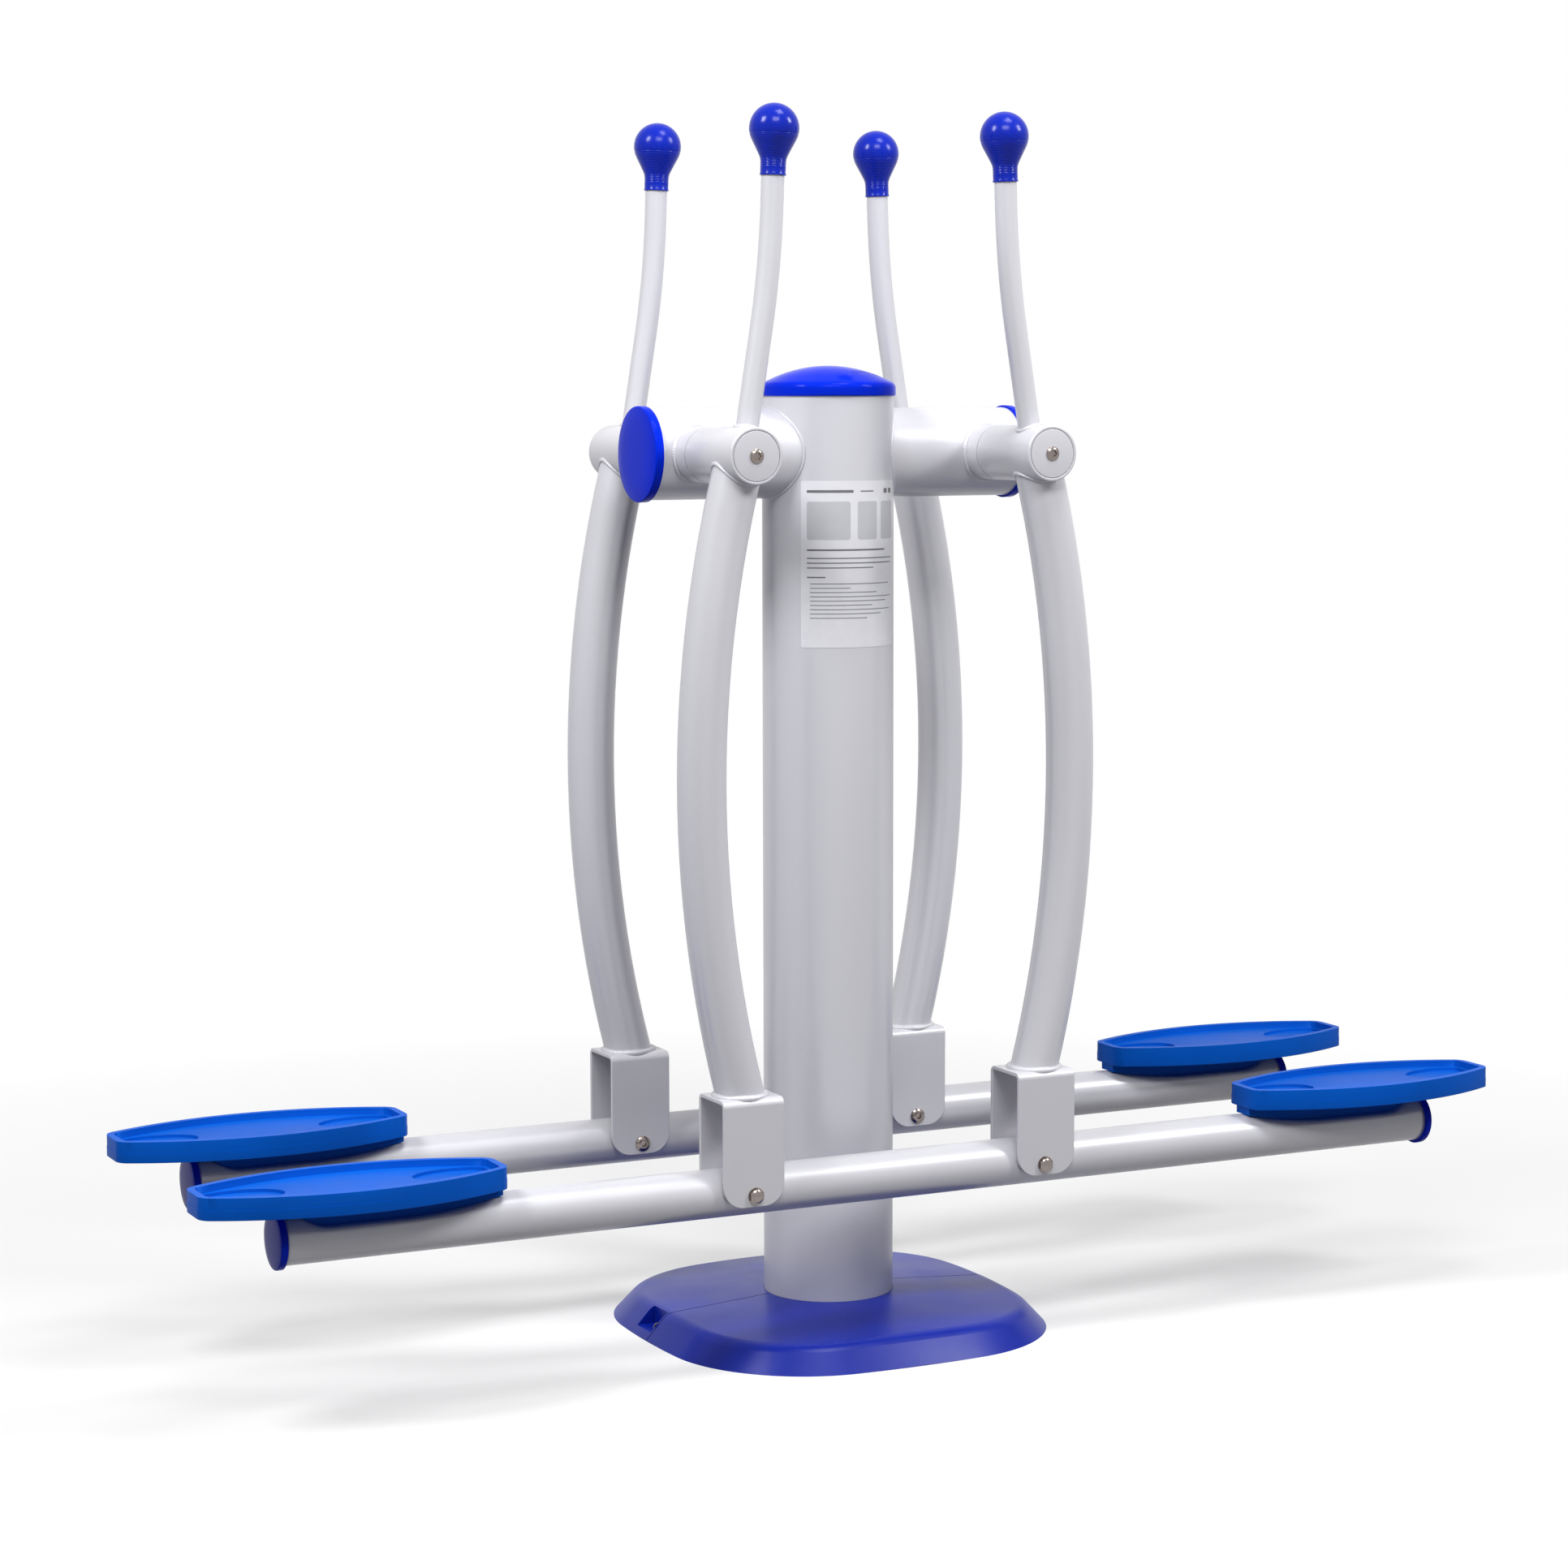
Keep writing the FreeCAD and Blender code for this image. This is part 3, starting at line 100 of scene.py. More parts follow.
def setting(kind, **fixed):
    """Kind of property that still takes a name, a default and a description."""
    def declare(name, default, description):
        return kind(name=name, default=default, description=description, **fixed)
    return declare


length = setting(FloatProperty, min=0.0, unit="LENGTH", precision=4)
colour = setting(FloatVectorProperty, size=3, min=0.0, max=1.0, subtype="COLOR")
share = setting(FloatProperty, min=0.0, max=1.0, subtype="FACTOR")
power = setting(FloatProperty, min=0.0, unit="POWER")
angle = setting(FloatProperty, unit="ROTATION")


class PaintSettings(bpy.types.PropertyGroup):
    """Colours and gloss of the finishes."""

    silver: colour("Silver paint", (0.615, 0.612, 0.655), "Powder coat of the tubes")
    silver_metal: share("Silver metal", 0.10, "How metallic the powder coat is")
    silver_rough: share("Silver roughness", 0.31, "Roughness of the powder coat")
    pad: colour("Foot pads", (0.0005, 0.100, 0.56), "Blue of the foot pads")
    cover: colour("Base cover", (0.002, 0.015, 0.29), "Blue of the base cover")
    cap: colour("Caps", (0.0005, 0.020, 0.60), "Blue of the caps")
    knob: colour("Knobs", (0.0005, 0.014, 0.36), "Blue of the knobs")
    stainless: colour("Stainless steel", (0.25, 0.215, 0.20), "Bolts, nuts and screws")


class MouldingSettings(bpy.types.PropertyGroup):
    """Sizes of the moulded parts that the frame's boxes don't give."""

    pad_rim: length("Pad rim", 0.009, "Width of the pad's raised rim")
    pad_recess: length("Pad recess", 0.0085, "Tread below the rim")
    pad_pocket: length("Pad pocket", 0.004, "End pockets below the tread")
    pocket_length: length("Pocket length", 0.096, "Length of the pad's end pockets")
    pocket_in: length("Pocket inset", 0.006, "End pockets inside the rim")
    pad_skin: length("Pad skin", 0.004, "Wall of the pad")
    pad_foot: length("Pad lower round", 0.0036, "Rounding of the pad's lower edge")
    pad_end: length("Pad end", 0.060, "Width of the pad's flat ends")
    pad_ledge: length("Pad ledge", 0.00035, "Step at the parting line round the skirt")
    knob_groove: length("Knob groove", 0.00028, "Depth of the grip grooves")
    knob_pitch: length("Knob pitch", 0.002, "Distance between the grip grooves")
    knob_lean: angle("Knob lean", math.radians(2.0), "Lean of the knobs towards the column")
    cap_round: length("Cap round", 0.0018, "Rounding of the end caps' rims")


class SteelSettings(bpy.types.PropertyGroup):
    """Sizes of welds, plates and fasteners."""

    weld: length("Weld", 0.0036, "Thickness of a weld bead")
    plate: length("Plate", 0.005, "Thickness of the clevis plate")
    plate_bend: length("Plate bend", 0.009, "Outer radius of the clevis' bends")
    plate_corner: length("Plate corner", 0.027, "Radius of the clevis' lower corners")
    hub_wall: length("Hub wall", 0.004, "Wall of the hub tube")
    beam_wall: length("Beam wall", 0.0032, "Wall of the foot beam tube")
    seat_depth: length("Seat depth", 0.015, "Depth of the pressed seat under a pad")
    seat_middle: length("Seat middle", 0.700, "Middle of a pressed seat from the column's axis")
    seat_half: length("Seat half", 0.045, "Half length of the seat's flat")
    seat_ramp_in: length("Seat inner ramp", 0.130, "Ramp of the seat towards the column")
    seat_ramp_out: length("Seat outer ramp", 0.036, "Ramp of the seat towards the tube's end")
    bolt_pitch: length("Pad bolt pitch", 0.050, "Distance between a pad's two bolts")
    access_hole: length("Access hole", 0.020, "Diameter of the holes below the pad bolts")
    steps: IntProperty(name="Steps", description="Faces round a turned part", default=96, min=24, max=256)


class StageSettings(bpy.types.PropertyGroup):
    """Camera and light."""

    camera_at: FloatVectorProperty(name="Camera", description="Place of the camera", size=3,
                                   subtype="TRANSLATION", unit="LENGTH", default=(-2.0443, -4.0701, 1.1936))
    yaw: angle("Yaw", 0.453, "Heading of the camera to the right of +Y")
    pitch: angle("Pitch", -0.107, "Tilt of the camera above the horizon")
    roll: angle("Roll", -0.002, "Roll of the camera")
    lens: FloatProperty(name="Lens", description="Focal length for a 36 mm wide sensor", default=81.49,
                        min=1.0, unit="CAMERA")
    key_light: power("Key light", 36.0, "Power of the overhead softbox")
    left_light: power("Left light", 66.0, "Power of the left softbox")
    right_light: power("Right light", 60.0, "Power of the right softbox")
    front_light: power("Front light", 76.0, "Power of the large front softbox")
    ambient: share("Ambient", 0.10, "Strength of the room's light")


# Materials. No finish's roughness crosses 0.274, where the noise filter leaves an outline.

def tree_of(name):
    """Node tree of a new material, its shader and the object coordinates."""
    material = bpy.data.materials.new("finish_" + name)
    material.use_nodes = True
    tree = material.node_tree
    return tree, tree.nodes["Principled BSDF"], tree.nodes.new("ShaderNodeTexCoord").outputs["Object"]


def finish(name):
    return bpy.data.materials["finish_" + name]


def feed(made, inputs):
    """Link or set a node's inputs."""
    for name, entry in inputs.items():
        if isinstance(entry, bpy.types.NodeSocket):
            made.id_data.links.new(entry, made.inputs[name])
        else:
            made.inputs[name].default_value = entry


def node(tree, kind, inputs, **settings):
    made = tree.nodes.new("ShaderNode" + kind)
    for name, setting in settings.items():
        setattr(made, name, setting)
    feed(made, inputs)
    return made


def combine(tree, first, second, operation="MULTIPLY"):
    return node(tree, "Math", {0: first, 1: second}, operation=operation).outputs[0]


def noise(tree, where, scale, detail=2.0, stretch=None):
    if stretch:
        where = node(tree, "Mapping", {"Vector": where, "Scale": stretch}).outputs["Vector"]
    return node(tree, "TexNoise", {"Vector": where, "Scale": scale, "Detail": detail}).outputs["Fac"]


def spread(tree, value, low, high, start=0.3, end=0.7):
    """Map a value from start..end to low..high."""
    return node(tree, "MapRange", {"Value": value, "From Min": start, "From Max": end, "To Min": low,
                                   "To Max": high}).outputs["Result"]


def blend_colours(tree, factor, *pair):
    first, second = (c if isinstance(c, bpy.types.NodeSocket) else (*c, 1.0) for c in pair)
    return node(tree, "Mix", {0: factor, 6: first, 7: second}, data_type="RGBA").outputs[2]


def shaded(tone, factor):
    return tuple(min(1.0, part * factor) for part in tone)


def raise_surface(tree, shader, layers):
    """Chain of bumps. A layer is (height, strength, distance)."""
    normal = None
    for height, strength, distance in layers:
        inputs = {"Height": height, "Strength": strength, "Distance": distance}
        if normal:
            inputs["Normal"] = normal
        normal = node(tree, "Bump", inputs).outputs["Normal"]
    feed(shader, {"Normal": normal})


def powder_coat(name, paints):
    """Silver-grey powder coat: fine metal flakes, a little orange peel and faint clouds and scuffs."""
    tree, shader, where = tree_of(name)
    flakes = spread(tree, noise(tree, where, 2600.0, 1.0), 0.0, 1.0)
    clouds = spread(tree, noise(tree, where, 9.0, 3.0), 0.0, 1.0)
    scuffs = spread(tree, noise(tree, where, 26.0, 6.0, stretch=(1.0, 1.0, 0.25)), 0.0, 1.0, 0.52, 0.84)
    grain = blend_colours(tree, flakes, shaded(paints.silver, 0.94), shaded(paints.silver, 1.07))
    cloudy = blend_colours(tree, clouds, grain, shaded(paints.silver, 1.0))
    worn = blend_colours(tree, combine(tree, scuffs, 0.04), cloudy, (0.33, 0.33, 0.35))
    rough = spread(tree, clouds, paints.silver_rough - 0.03, paints.silver_rough + 0.05, 0.0, 1.0)
    feed(shader, {"Base Color": worn, "Metallic": paints.silver_metal, "Roughness": rough})
    raise_surface(tree, shader, ((noise(tree, where, 380.0, 2.0), 0.13, 0.12 * MM),
                                 (noise(tree, where, 1500.0, 1.0), 0.12, 0.05 * MM)))
    return tree, shader, where


def seat_coat(paints, steels):
    """The powder coat of the foot beams, with painted shade on the seats that the pads cover: reflection and
    metal are turned down there to stand in for the pads' shade.
    """
    tree, shader, where = powder_coat("silver_seat", paints)
    along = node(tree, "SeparateXYZ", {"Vector": where}).outputs["X"]
    away = node(tree, "Math", {0: along}, operation="ABSOLUTE").outputs[0]
    inner = steels.seat_middle - steels.seat_half - steels.seat_ramp_in
    under = spread(tree, away, 0.0, 1.0, inner, inner + 0.6 * steels.seat_ramp_in)
    upward = node(tree, "SeparateXYZ", {"Vector": where.node.outputs["Normal"]}).outputs["Z"]
    # Painted shade: the upward faces on and beyond the seats lose their reflection and metal, as if in the
    # pads' shade
    painted_shade = combine(tree, under, spread(tree, upward, 0.0, 1.0, 0.75, 0.95))
    feed(shader, {"Specular IOR Level": spread(tree, painted_shade, 0.5, 0.03, 0.0, 1.0),
                  "Metallic": spread(tree, painted_shade, paints.silver_metal, 0.0, 0.0, 1.0)})


def moulded(name, base, rough, grain, depth, gloss):
    """Moulded plastic: faint colour drift and a grain of a given scale and depth."""
    tree, shader, where = tree_of(name)
    drift = spread(tree, noise(tree, where, 11.0, 3.0), 0.0, 1.0)
    speck = spread(tree, noise(tree, where, grain, 2.0), 0.0, 1.0)
    body = blend_colours(tree, drift, shaded(base, 0.93), shaded(base, 1.07))
    pale = tuple(0.9 * part + 0.02 for part in base)
    feed(shader, {"Base Color": blend_colours(tree, combine(tree, speck, 0.10), body, pale),
                  "Roughness": spread(tree, drift, rough - 0.03, rough + 0.05, 0.0, 1.0),
                  "Specular IOR Level": gloss})
    raise_surface(tree, shader, ((noise(tree, where, grain, 3.0), 0.30, depth),
                                 (noise(tree, where, 55.0, 2.0), 0.10, depth * 3)))


def steel(name, base, rough, scale):
    """Bare metal with fine machining marks."""
    tree, shader, where = tree_of(name)
    marks = noise(tree, where, scale, 4.0)
    tone = blend_colours(tree, spread(tree, marks, 0.0, 1.0), shaded(base, 0.86), shaded(base, 1.12))
    feed(shader, {"Base Color": tone, "Metallic": 1.0,
                  "Roughness": spread(tree, marks, rough - 0.05, rough + 0.08)})
    raise_surface(tree, shader, ((marks, 0.15, 0.05 * MM),))


def galvanised():
    """Zinc with its crystal pattern."""
    tree, shader, where = tree_of("zinc_steel")
    cells = node(tree, "TexVoronoi", {"Vector": where, "Scale": 130.0}).outputs["Color"]
    value = node(tree, "SeparateColor", {"Color": cells}).outputs["Red"]
    tone = blend_colours(tree, value, (0.36, 0.37, 0.38), (0.52, 0.53, 0.55))
    feed(shader, {"Base Color": tone, "Metallic": 0.8,
                  "Roughness": spread(tree, value, 0.38, 0.55, 0.0, 1.0)})


def printed(name, tone):
    """Smooth film of the sticker, with a faint mottle."""
    tree, shader, where = tree_of(name)
    mottle = spread(tree, noise(tree, where, 60.0, 3.0), 0.0, 1.0)
    feed(shader, {"Base Color": blend_colours(tree, mottle, shaded(tone, 0.97), shaded(tone, 1.02)),
                  "Roughness": 0.33})
    raise_surface(tree, shader, ((noise(tree, where, 90.0, 2.0), 0.05, 0.05 * MM),))


def seen_rays(tree):
    """1 for the rays that see the background: from the camera, in reflections and through glass."""
    path = node(tree, "LightPath", {}).outputs
    seen = combine(tree, path["Is Camera Ray"], path["Is Glossy Ray"], "MAXIMUM")
    return combine(tree, seen, path["Is Transmission Ray"], "MAXIMUM")


# Shaping with bmesh

def points_in(geom):
    return [part for part in geom if isinstance(part, bmesh.types.BMVert)]


def face_out(bm):
    bmesh.ops.recalc_face_normals(bm, faces=bm.faces)


def arc(centre, radius, start, end, count):
    """Points on an arc in the (radius, height) plane, angles in degrees from the radius axis."""
    turns = [math.radians(start + (end - start) * i / count) for i in range(count + 1)]
    return [(centre[0] + radius * math.cos(a), centre[1] + radius * math.sin(a)) for a in turns]


def soften_corners(bm, corners, reach, steps=4):
    bmesh.ops.bevel(bm, geom=corners, offset=reach, offset_type="OFFSET", segments=steps, profile=0.5,
                    affect="VERTICES", material=-1)


def turned(points, rounds=(), closed=False, steps=0):
    """Spin a line of (radius, height) points about Z; rounds names corners to soften and their reach."""
    bm = bmesh.new()
    corners = [bm.verts.new((radius, 0, height)) for radius, height in points]
    for pair in zip(corners, corners[1:] + corners[:1] if closed else corners[1:]):
        bm.edges.new(pair)
    for index, reach in rounds:
        soften_corners(bm, [corners[index]], reach)
    steps = steps or bpy.context.scene.airwalker_steel.steps
    bmesh.ops.spin(bm, geom=bm.verts[:] + bm.edges[:], cent=(0, 0, 0), axis=(0, 0, 1), angle=math.tau,
                   steps=steps, use_merge=True)
    bmesh.ops.remove_doubles(bm, verts=bm.verts, dist=1e-6)
    face_out(bm)
    return bm


def block(low, high):
    bm = bmesh.new()
    low, high = Vector(low), Vector(high)
    matrix = Matrix.Translation((low + high) / 2) @ Matrix.Diagonal((*(high - low), 1.0))
    bmesh.ops.create_cube(bm, size=1.0, matrix=matrix)
    return bm


def cut_strips(bm, start, end, count):
    """Cut a shape into equal strips along X."""
    for i in range(1, count):
        bmesh.ops.bisect_plane(bm, geom=[*bm.verts, *bm.edges, *bm.faces],
                               plane_co=(start + (end - start) * i / count, 0, 0), plane_no=(1, 0, 0))


def add_shape(bm, other, matrix=None):
    """Move another shape's faces into this one."""
    if matrix:
        bmesh.ops.transform(other, matrix=matrix, verts=other.verts)
    carrier = bpy.data.meshes.new("carrier")
    other.to_mesh(carrier)
    other.free()
    bm.from_mesh(carrier)
    bpy.data.meshes.remove(carrier)


def aim(point, direction):
    """Matrix that takes the local Z axis to a direction at a point."""
    turn = Vector((0, 0, 1)).rotation_difference(Vector(direction)).to_matrix().to_4x4()
    return Matrix.Translation(point) @ turn


def slant(across, lean, up):
    """Direction that leans from the vertical: across and up are each 1 or -1."""
    return Vector((across * math.sin(lean), 0, up * math.cos(lean)))


def add_object(name, data):
    made = bpy.data.objects.new(name, data)
    bpy.context.scene.collection.objects.link(made)
    return made


def settle(name, bm, body, slot, replaces=(), matrix=None, sharp=38.0, modifiers=(), materials=()):
    """Make a shape a piece that rides on a body, with its place in its mesh."""
    if matrix:
        bmesh.ops.transform(bm, matrix=matrix, verts=bm.verts)
    mesh = bpy.data.meshes.new(name)
    bm.to_mesh(mesh)
    bm.free()
    for material in materials or (slot,):
        mesh.materials.append(finish(material))
    mesh.shade_smooth()
    mesh.set_sharp_from_angle(angle=math.radians(sharp))
    piece = add_object(name, mesh)
    for kind, settings in modifiers:
        modifier = piece.modifiers.new(kind.title(), kind)
        for key, setting in settings.items():
            setattr(modifier, key, setting)
    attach(piece, body)
    if replaces:
        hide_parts(*replaces)


def hexagon(turn):
    """Radius of a hexagon of unit corner radius in a direction."""
    sixth = math.pi / 3
    return math.cos(sixth / 2) / math.cos(turn % sixth - sixth / 2)


def star(turn):
    """Radius of a six-lobed recess of unit radius in a direction."""
    return 0.87 + 0.13 * math.cos(6 * turn)


def reshape(bm, chosen, form):
    """Pull chosen vertices from their circle to another form about the Z axis."""
    for vert in bm.verts:
        if chosen(vert.co):
            factor = form(math.atan2(vert.co.y, vert.co.x))
            vert.co.x *= factor
            vert.co.y *= factor


def button_head(radius, height, recess, depth, form):
    """Button head with a recess, its flat underside at z = 0."""
    side = 0.3 * height
    dome = (radius ** 2 + (height - side) ** 2) / (2 * (height - side))
    top = [(r, height - (dome - math.sqrt(dome ** 2 - r ** 2)))
           for r in (radius * k / 8 for k in (7.5, 7, 6, 5)) if r > recess * 1.1]
    level = top[-1][1]
    points = [(0, 0), (radius, 0), (radius, side), *top, (recess, level), (recess, level - depth),
              (0, level - depth * 1.15)]
    bm = turned(points, ((1, 0.02 * radius),), steps=72)
    reshape(bm, lambda co: 0.9 * recess < co.xy.length < 1.02 * recess and co.z > height / 9, form)
    return bm


def dome_nut(radius, height):
    """Hexagonal cap nut, its flat underside at z = 0."""
    flat = 0.52 * height
    points = [(0, 0), (radius, 0), (radius, flat), (radius * 0.84, flat + 0.04 * height)]
    points += [(radius * 0.82 * math.cos(a), flat + (height - flat) * math.sin(a))
               for a in (0.25, 0.55, 0.85, 1.15, 1.4)] + [(0, height)]
    bm = turned(points, steps=72)
    reshape(bm, lambda co: co.xy.length > 0.9 * radius, hexagon)
    return bm


def bolt_places(steels):
    """Places of the pad bolts along a foot beam."""
    return [sign * steels.seat_middle + shift * steels.bolt_pitch / 2
            for sign in SIDES.values() for shift in (-1, 1)]


def seat_rise(away, ramp, steels):
    """Rise of a pressed seat's ramp at a distance from its flat: an arc that starts level."""
    bend = (ramp ** 2 + steels.seat_depth ** 2) / (2 * steels.seat_depth)
    return bend - math.sqrt(max(bend ** 2 - away ** 2, 0.0))


# Operators

class AirwalkerOperator:
    bl_options = {"REGISTER", "UNDO"}

    def execute(self, context):
        scene = context.scene
        self.make(scene.airwalker_paint, scene.airwalker_moulding, scene.airwalker_steel)
        return {"FINISHED"}


class AIRWALKER_OT_finishes(AirwalkerOperator, bpy.types.Operator):
    """Mix the finishes and give them to the frame's own parts"""

    bl_idname = "airwalker.finishes"
    bl_label = "Finishes"

    def make(self, paints, mouldings, steels):
        powder_coat("silver_paint", paints)
        seat_coat(paints, steels)
        galvanised()
        steel("stainless", paints.stainless, rough=0.19, scale=700.0)
        steel("bearing_steel", (0.50, 0.51, 0.53), rough=0.19, scale=900.0)
        moulded("blue_pad", paints.pad, rough=0.44, grain=1300.0, depth=0.22 * MM, gloss=0.06)
        moulded("dark_blue_cover", paints.cover, rough=0.31, grain=1500.0, depth=0.05 * MM, gloss=0.2)
        moulded("blue_cap", paints.cap, rough=0.15, grain=600.0, depth=0.02 * MM, gloss=0.03)
        moulded("blue_knob", paints.knob, rough=0.19, grain=700.0, depth=0.02 * MM, gloss=0.17)
        moulded("bush_polymer", (0.02, 0.02, 0.022), rough=0.45, grain=900.0, depth=0.08 * MM, gloss=0.3)
        printed("sticker_film", (0.76, 0.76, 0.80))
        printed("sticker_ink", (0.15, 0.15, 0.16))
        printed("sticker_tint", (0.52, 0.53, 0.56))
        slots = {part["node"]: part["material_slot"] for part in frame["record"]["subparts"]}
        for name, part in frame["nodes"].items():
            for place in part.material_slots:
                place.material = finish(slots[name])


class AIRWALKER_OT_hubs(AirwalkerOperator, bpy.types.Operator):
    """Turn the hub tubes and the discs that close them, with eased edges"""

    bl_idname = "airwalker.hubs"
    bl_label = "Hubs"

    def make(self, paints, mouldings, steels):
        bore = HUB_RADIUS - steels.hub_wall
        eased = ((0, 0.5 * MM), (1, 1.4 * MM), (2, 2.0 * MM), (3, 0.6 * MM))
        for arm, out, sign in arms():
            disc = "axle_disc_" + arm
            self.ring(arm + "_hub", "_tube", arm + "_arm", out, bore, HUB_RADIUS, eased)
            self.ring(disc, "_plate", "frame", out, 5 * MM, extent(disc).x / 2, ((2, 0.7 * MM),))

    def ring(self, name, suffix, body, out, bore, radius, eased):
        """Round tube or disc along Y with a bore, its last end facing out."""
        long = extent(name).y
        bm = turned([(bore, 0), (radius, 0), (radius, long), (bore, long)], eased, closed=True)
        near = middle(name) - Vector((0, out * long / 2, 0))
        settle(name + suffix, bm, body, "silver_paint", (name,), aim(near, (0, out, 0)))


class AIRWALKER_OT_clevises(AirwalkerOperator, bpy.types.Operator):
    """Bend the clevis plates at the legs' lower ends"""

    bl_idname = "airwalker.clevises"
    bl_label = "Clevises"

    def make(self, paints, mouldings, steels):
        shell = {"thickness": steels.plate, "offset": 0.0, "use_even_offset": True}
        rounded = {"width": 0.9 * MM, "segments": 3, "limit_method": "ANGLE",
                   "angle_limit": math.radians(40), "use_clamp_overlap": False}
        finishing = (("SOLIDIFY", shell), ("BEVEL", rounded), ("WEIGHTED_NORMAL", {"keep_sharp": True}))
        for arm, out, sign in arms():
            low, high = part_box(arm + "_clevis")
            foot = Vector(((low.x + high.x) / 2, (low.y + high.y) / 2, low.z))
            settle(arm + "_clevis_plate", self.plate(high - low, steels), arm + "_arm", "silver_paint",
                   (arm + "_clevis",), Matrix.Translation(foot), modifiers=finishing)

    def plate(self, size, steels):
        """Middle surface of the plate: a U on its side, drawn across its width."""
        bm = bmesh.new()
        half, top = (size.y - steels.plate) / 2, size.z - steels.plate / 2
        spots = ((-half, 0), (-half, top), (half, top), (half, 0))
        corners = [bm.verts.new((-size.x / 2, y, z)) for y, z in spots]
        for pair in zip(corners, corners[1:]):
            bm.edges.new(pair)
        soften_corners(bm, corners[1:3], steels.plate_bend - steels.plate / 2, 6)
        drawn = bmesh.ops.extrude_edge_only(bm, edges=bm.edges[:])["geom"]
        bmesh.ops.translate(bm, vec=(size.x, 0, 0), verts=points_in(drawn))
        soften_corners(bm, [v for v in bm.verts if v.co.z < 1e-6], steels.plate_corner, 10)
        face_out(bm)
        return bm


class AIRWALKER_OT_beams(AirwalkerOperator, bpy.types.Operator):
    """Press the seats into the foot beam tubes"""

    bl_idname = "airwalker.beams"
    bl_label = "Foot beams"

    def make(self, paints, mouldings, steels):
        wall = ("SOLIDIFY", {"thickness": steels.beam_wall, "offset": -1.0})
        lie_down = Matrix.Rotation(math.radians(90), 4, "Y")
        for row in ROWS:
            name = row + "_beam_tube"
            long = extent(name).x
            bm = bmesh.new()
            bmesh.ops.create_cone(bm, cap_ends=False, segments=steels.steps, radius1=BEAM_RADIUS,
                                  radius2=BEAM_RADIUS, depth=long, matrix=lie_down)
            self.cut_rings(bm, 39, long / 2, 0.0)
            self.cut_rings(bm, 7, 1 * MM, steels.seat_middle - 1.4 * steels.seat_ramp_in)
            for vert in bm.verts:
                vert.co.z = self.pressed(abs(vert.co.x), vert.co.z, steels)
            for x in bolt_places(steels):
                self.access_hole(bm, x, steels.access_hole / 2)
            face_out(bm)
            # The pressed tube takes the seat coat, whose painted shade darkens the seats under the pads
            settle(name + "_pressed", bm, row + "_beam", "silver_paint", (name,),
                   Matrix.Translation((0, middle(name).y, BEAM_HEIGHT)), modifiers=(wall,),
                   materials=("silver_seat",))

    def cut_rings(self, bm, cuts, longer, past):
        """Cut the edges along the tube that are longer than a length and lie past a place."""
        edges = [e for e in bm.edges if abs(e.verts[0].co.x - e.verts[1].co.x) > longer
                 and abs(e.verts[0].co.x + e.verts[1].co.x) / 2 >= past]
        bmesh.ops.subdivide_edges(bm, edges=edges, cuts=cuts, use_grid_fill=False)

    def pressed(self, x, z, steels):
        """Height of a point of the tube after pressing, with a soft edge round the seat."""
        start, end = steels.seat_middle - steels.seat_half, steels.seat_middle + steels.seat_half
        inner = x < steels.seat_middle
        away, ramp = (start - x, steels.seat_ramp_in) if inner else (x - end, steels.seat_ramp_out)
        if away > ramp * 1.25:
            return z
        floor = BEAM_RADIUS - steels.seat_depth + seat_rise(max(away, 0.0), ramp, steels)
        soft = 2.2 * MM
        return (z + floor - math.sqrt((z - floor) ** 2 + soft ** 2)) / 2

    def access_hole(self, bm, x, radius):
        """Open a round hole in the tube's underside."""
        spot = Vector((x, 0, -BEAM_RADIUS))
        sides = 24
        for i in range(sides):
            turn = math.tau * i / sides
            near = [f for f in bm.faces if (f.calc_center_median() - spot).length < radius * 1.6]
            geom = {part for f in near for part in (*f.verts, *f.edges, f)}
            way = Vector((math.cos(turn), math.sin(turn), 0))
            bmesh.ops.bisect_plane(bm, geom=list(geom), plane_co=spot + way * radius, plane_no=way)
        gone = [f for f in bm.faces if f.calc_center_median().z < 0
                and (f.calc_center_median() - spot).xy.length < radius]
        bmesh.ops.delete(bm, geom=gone, context="FACES")


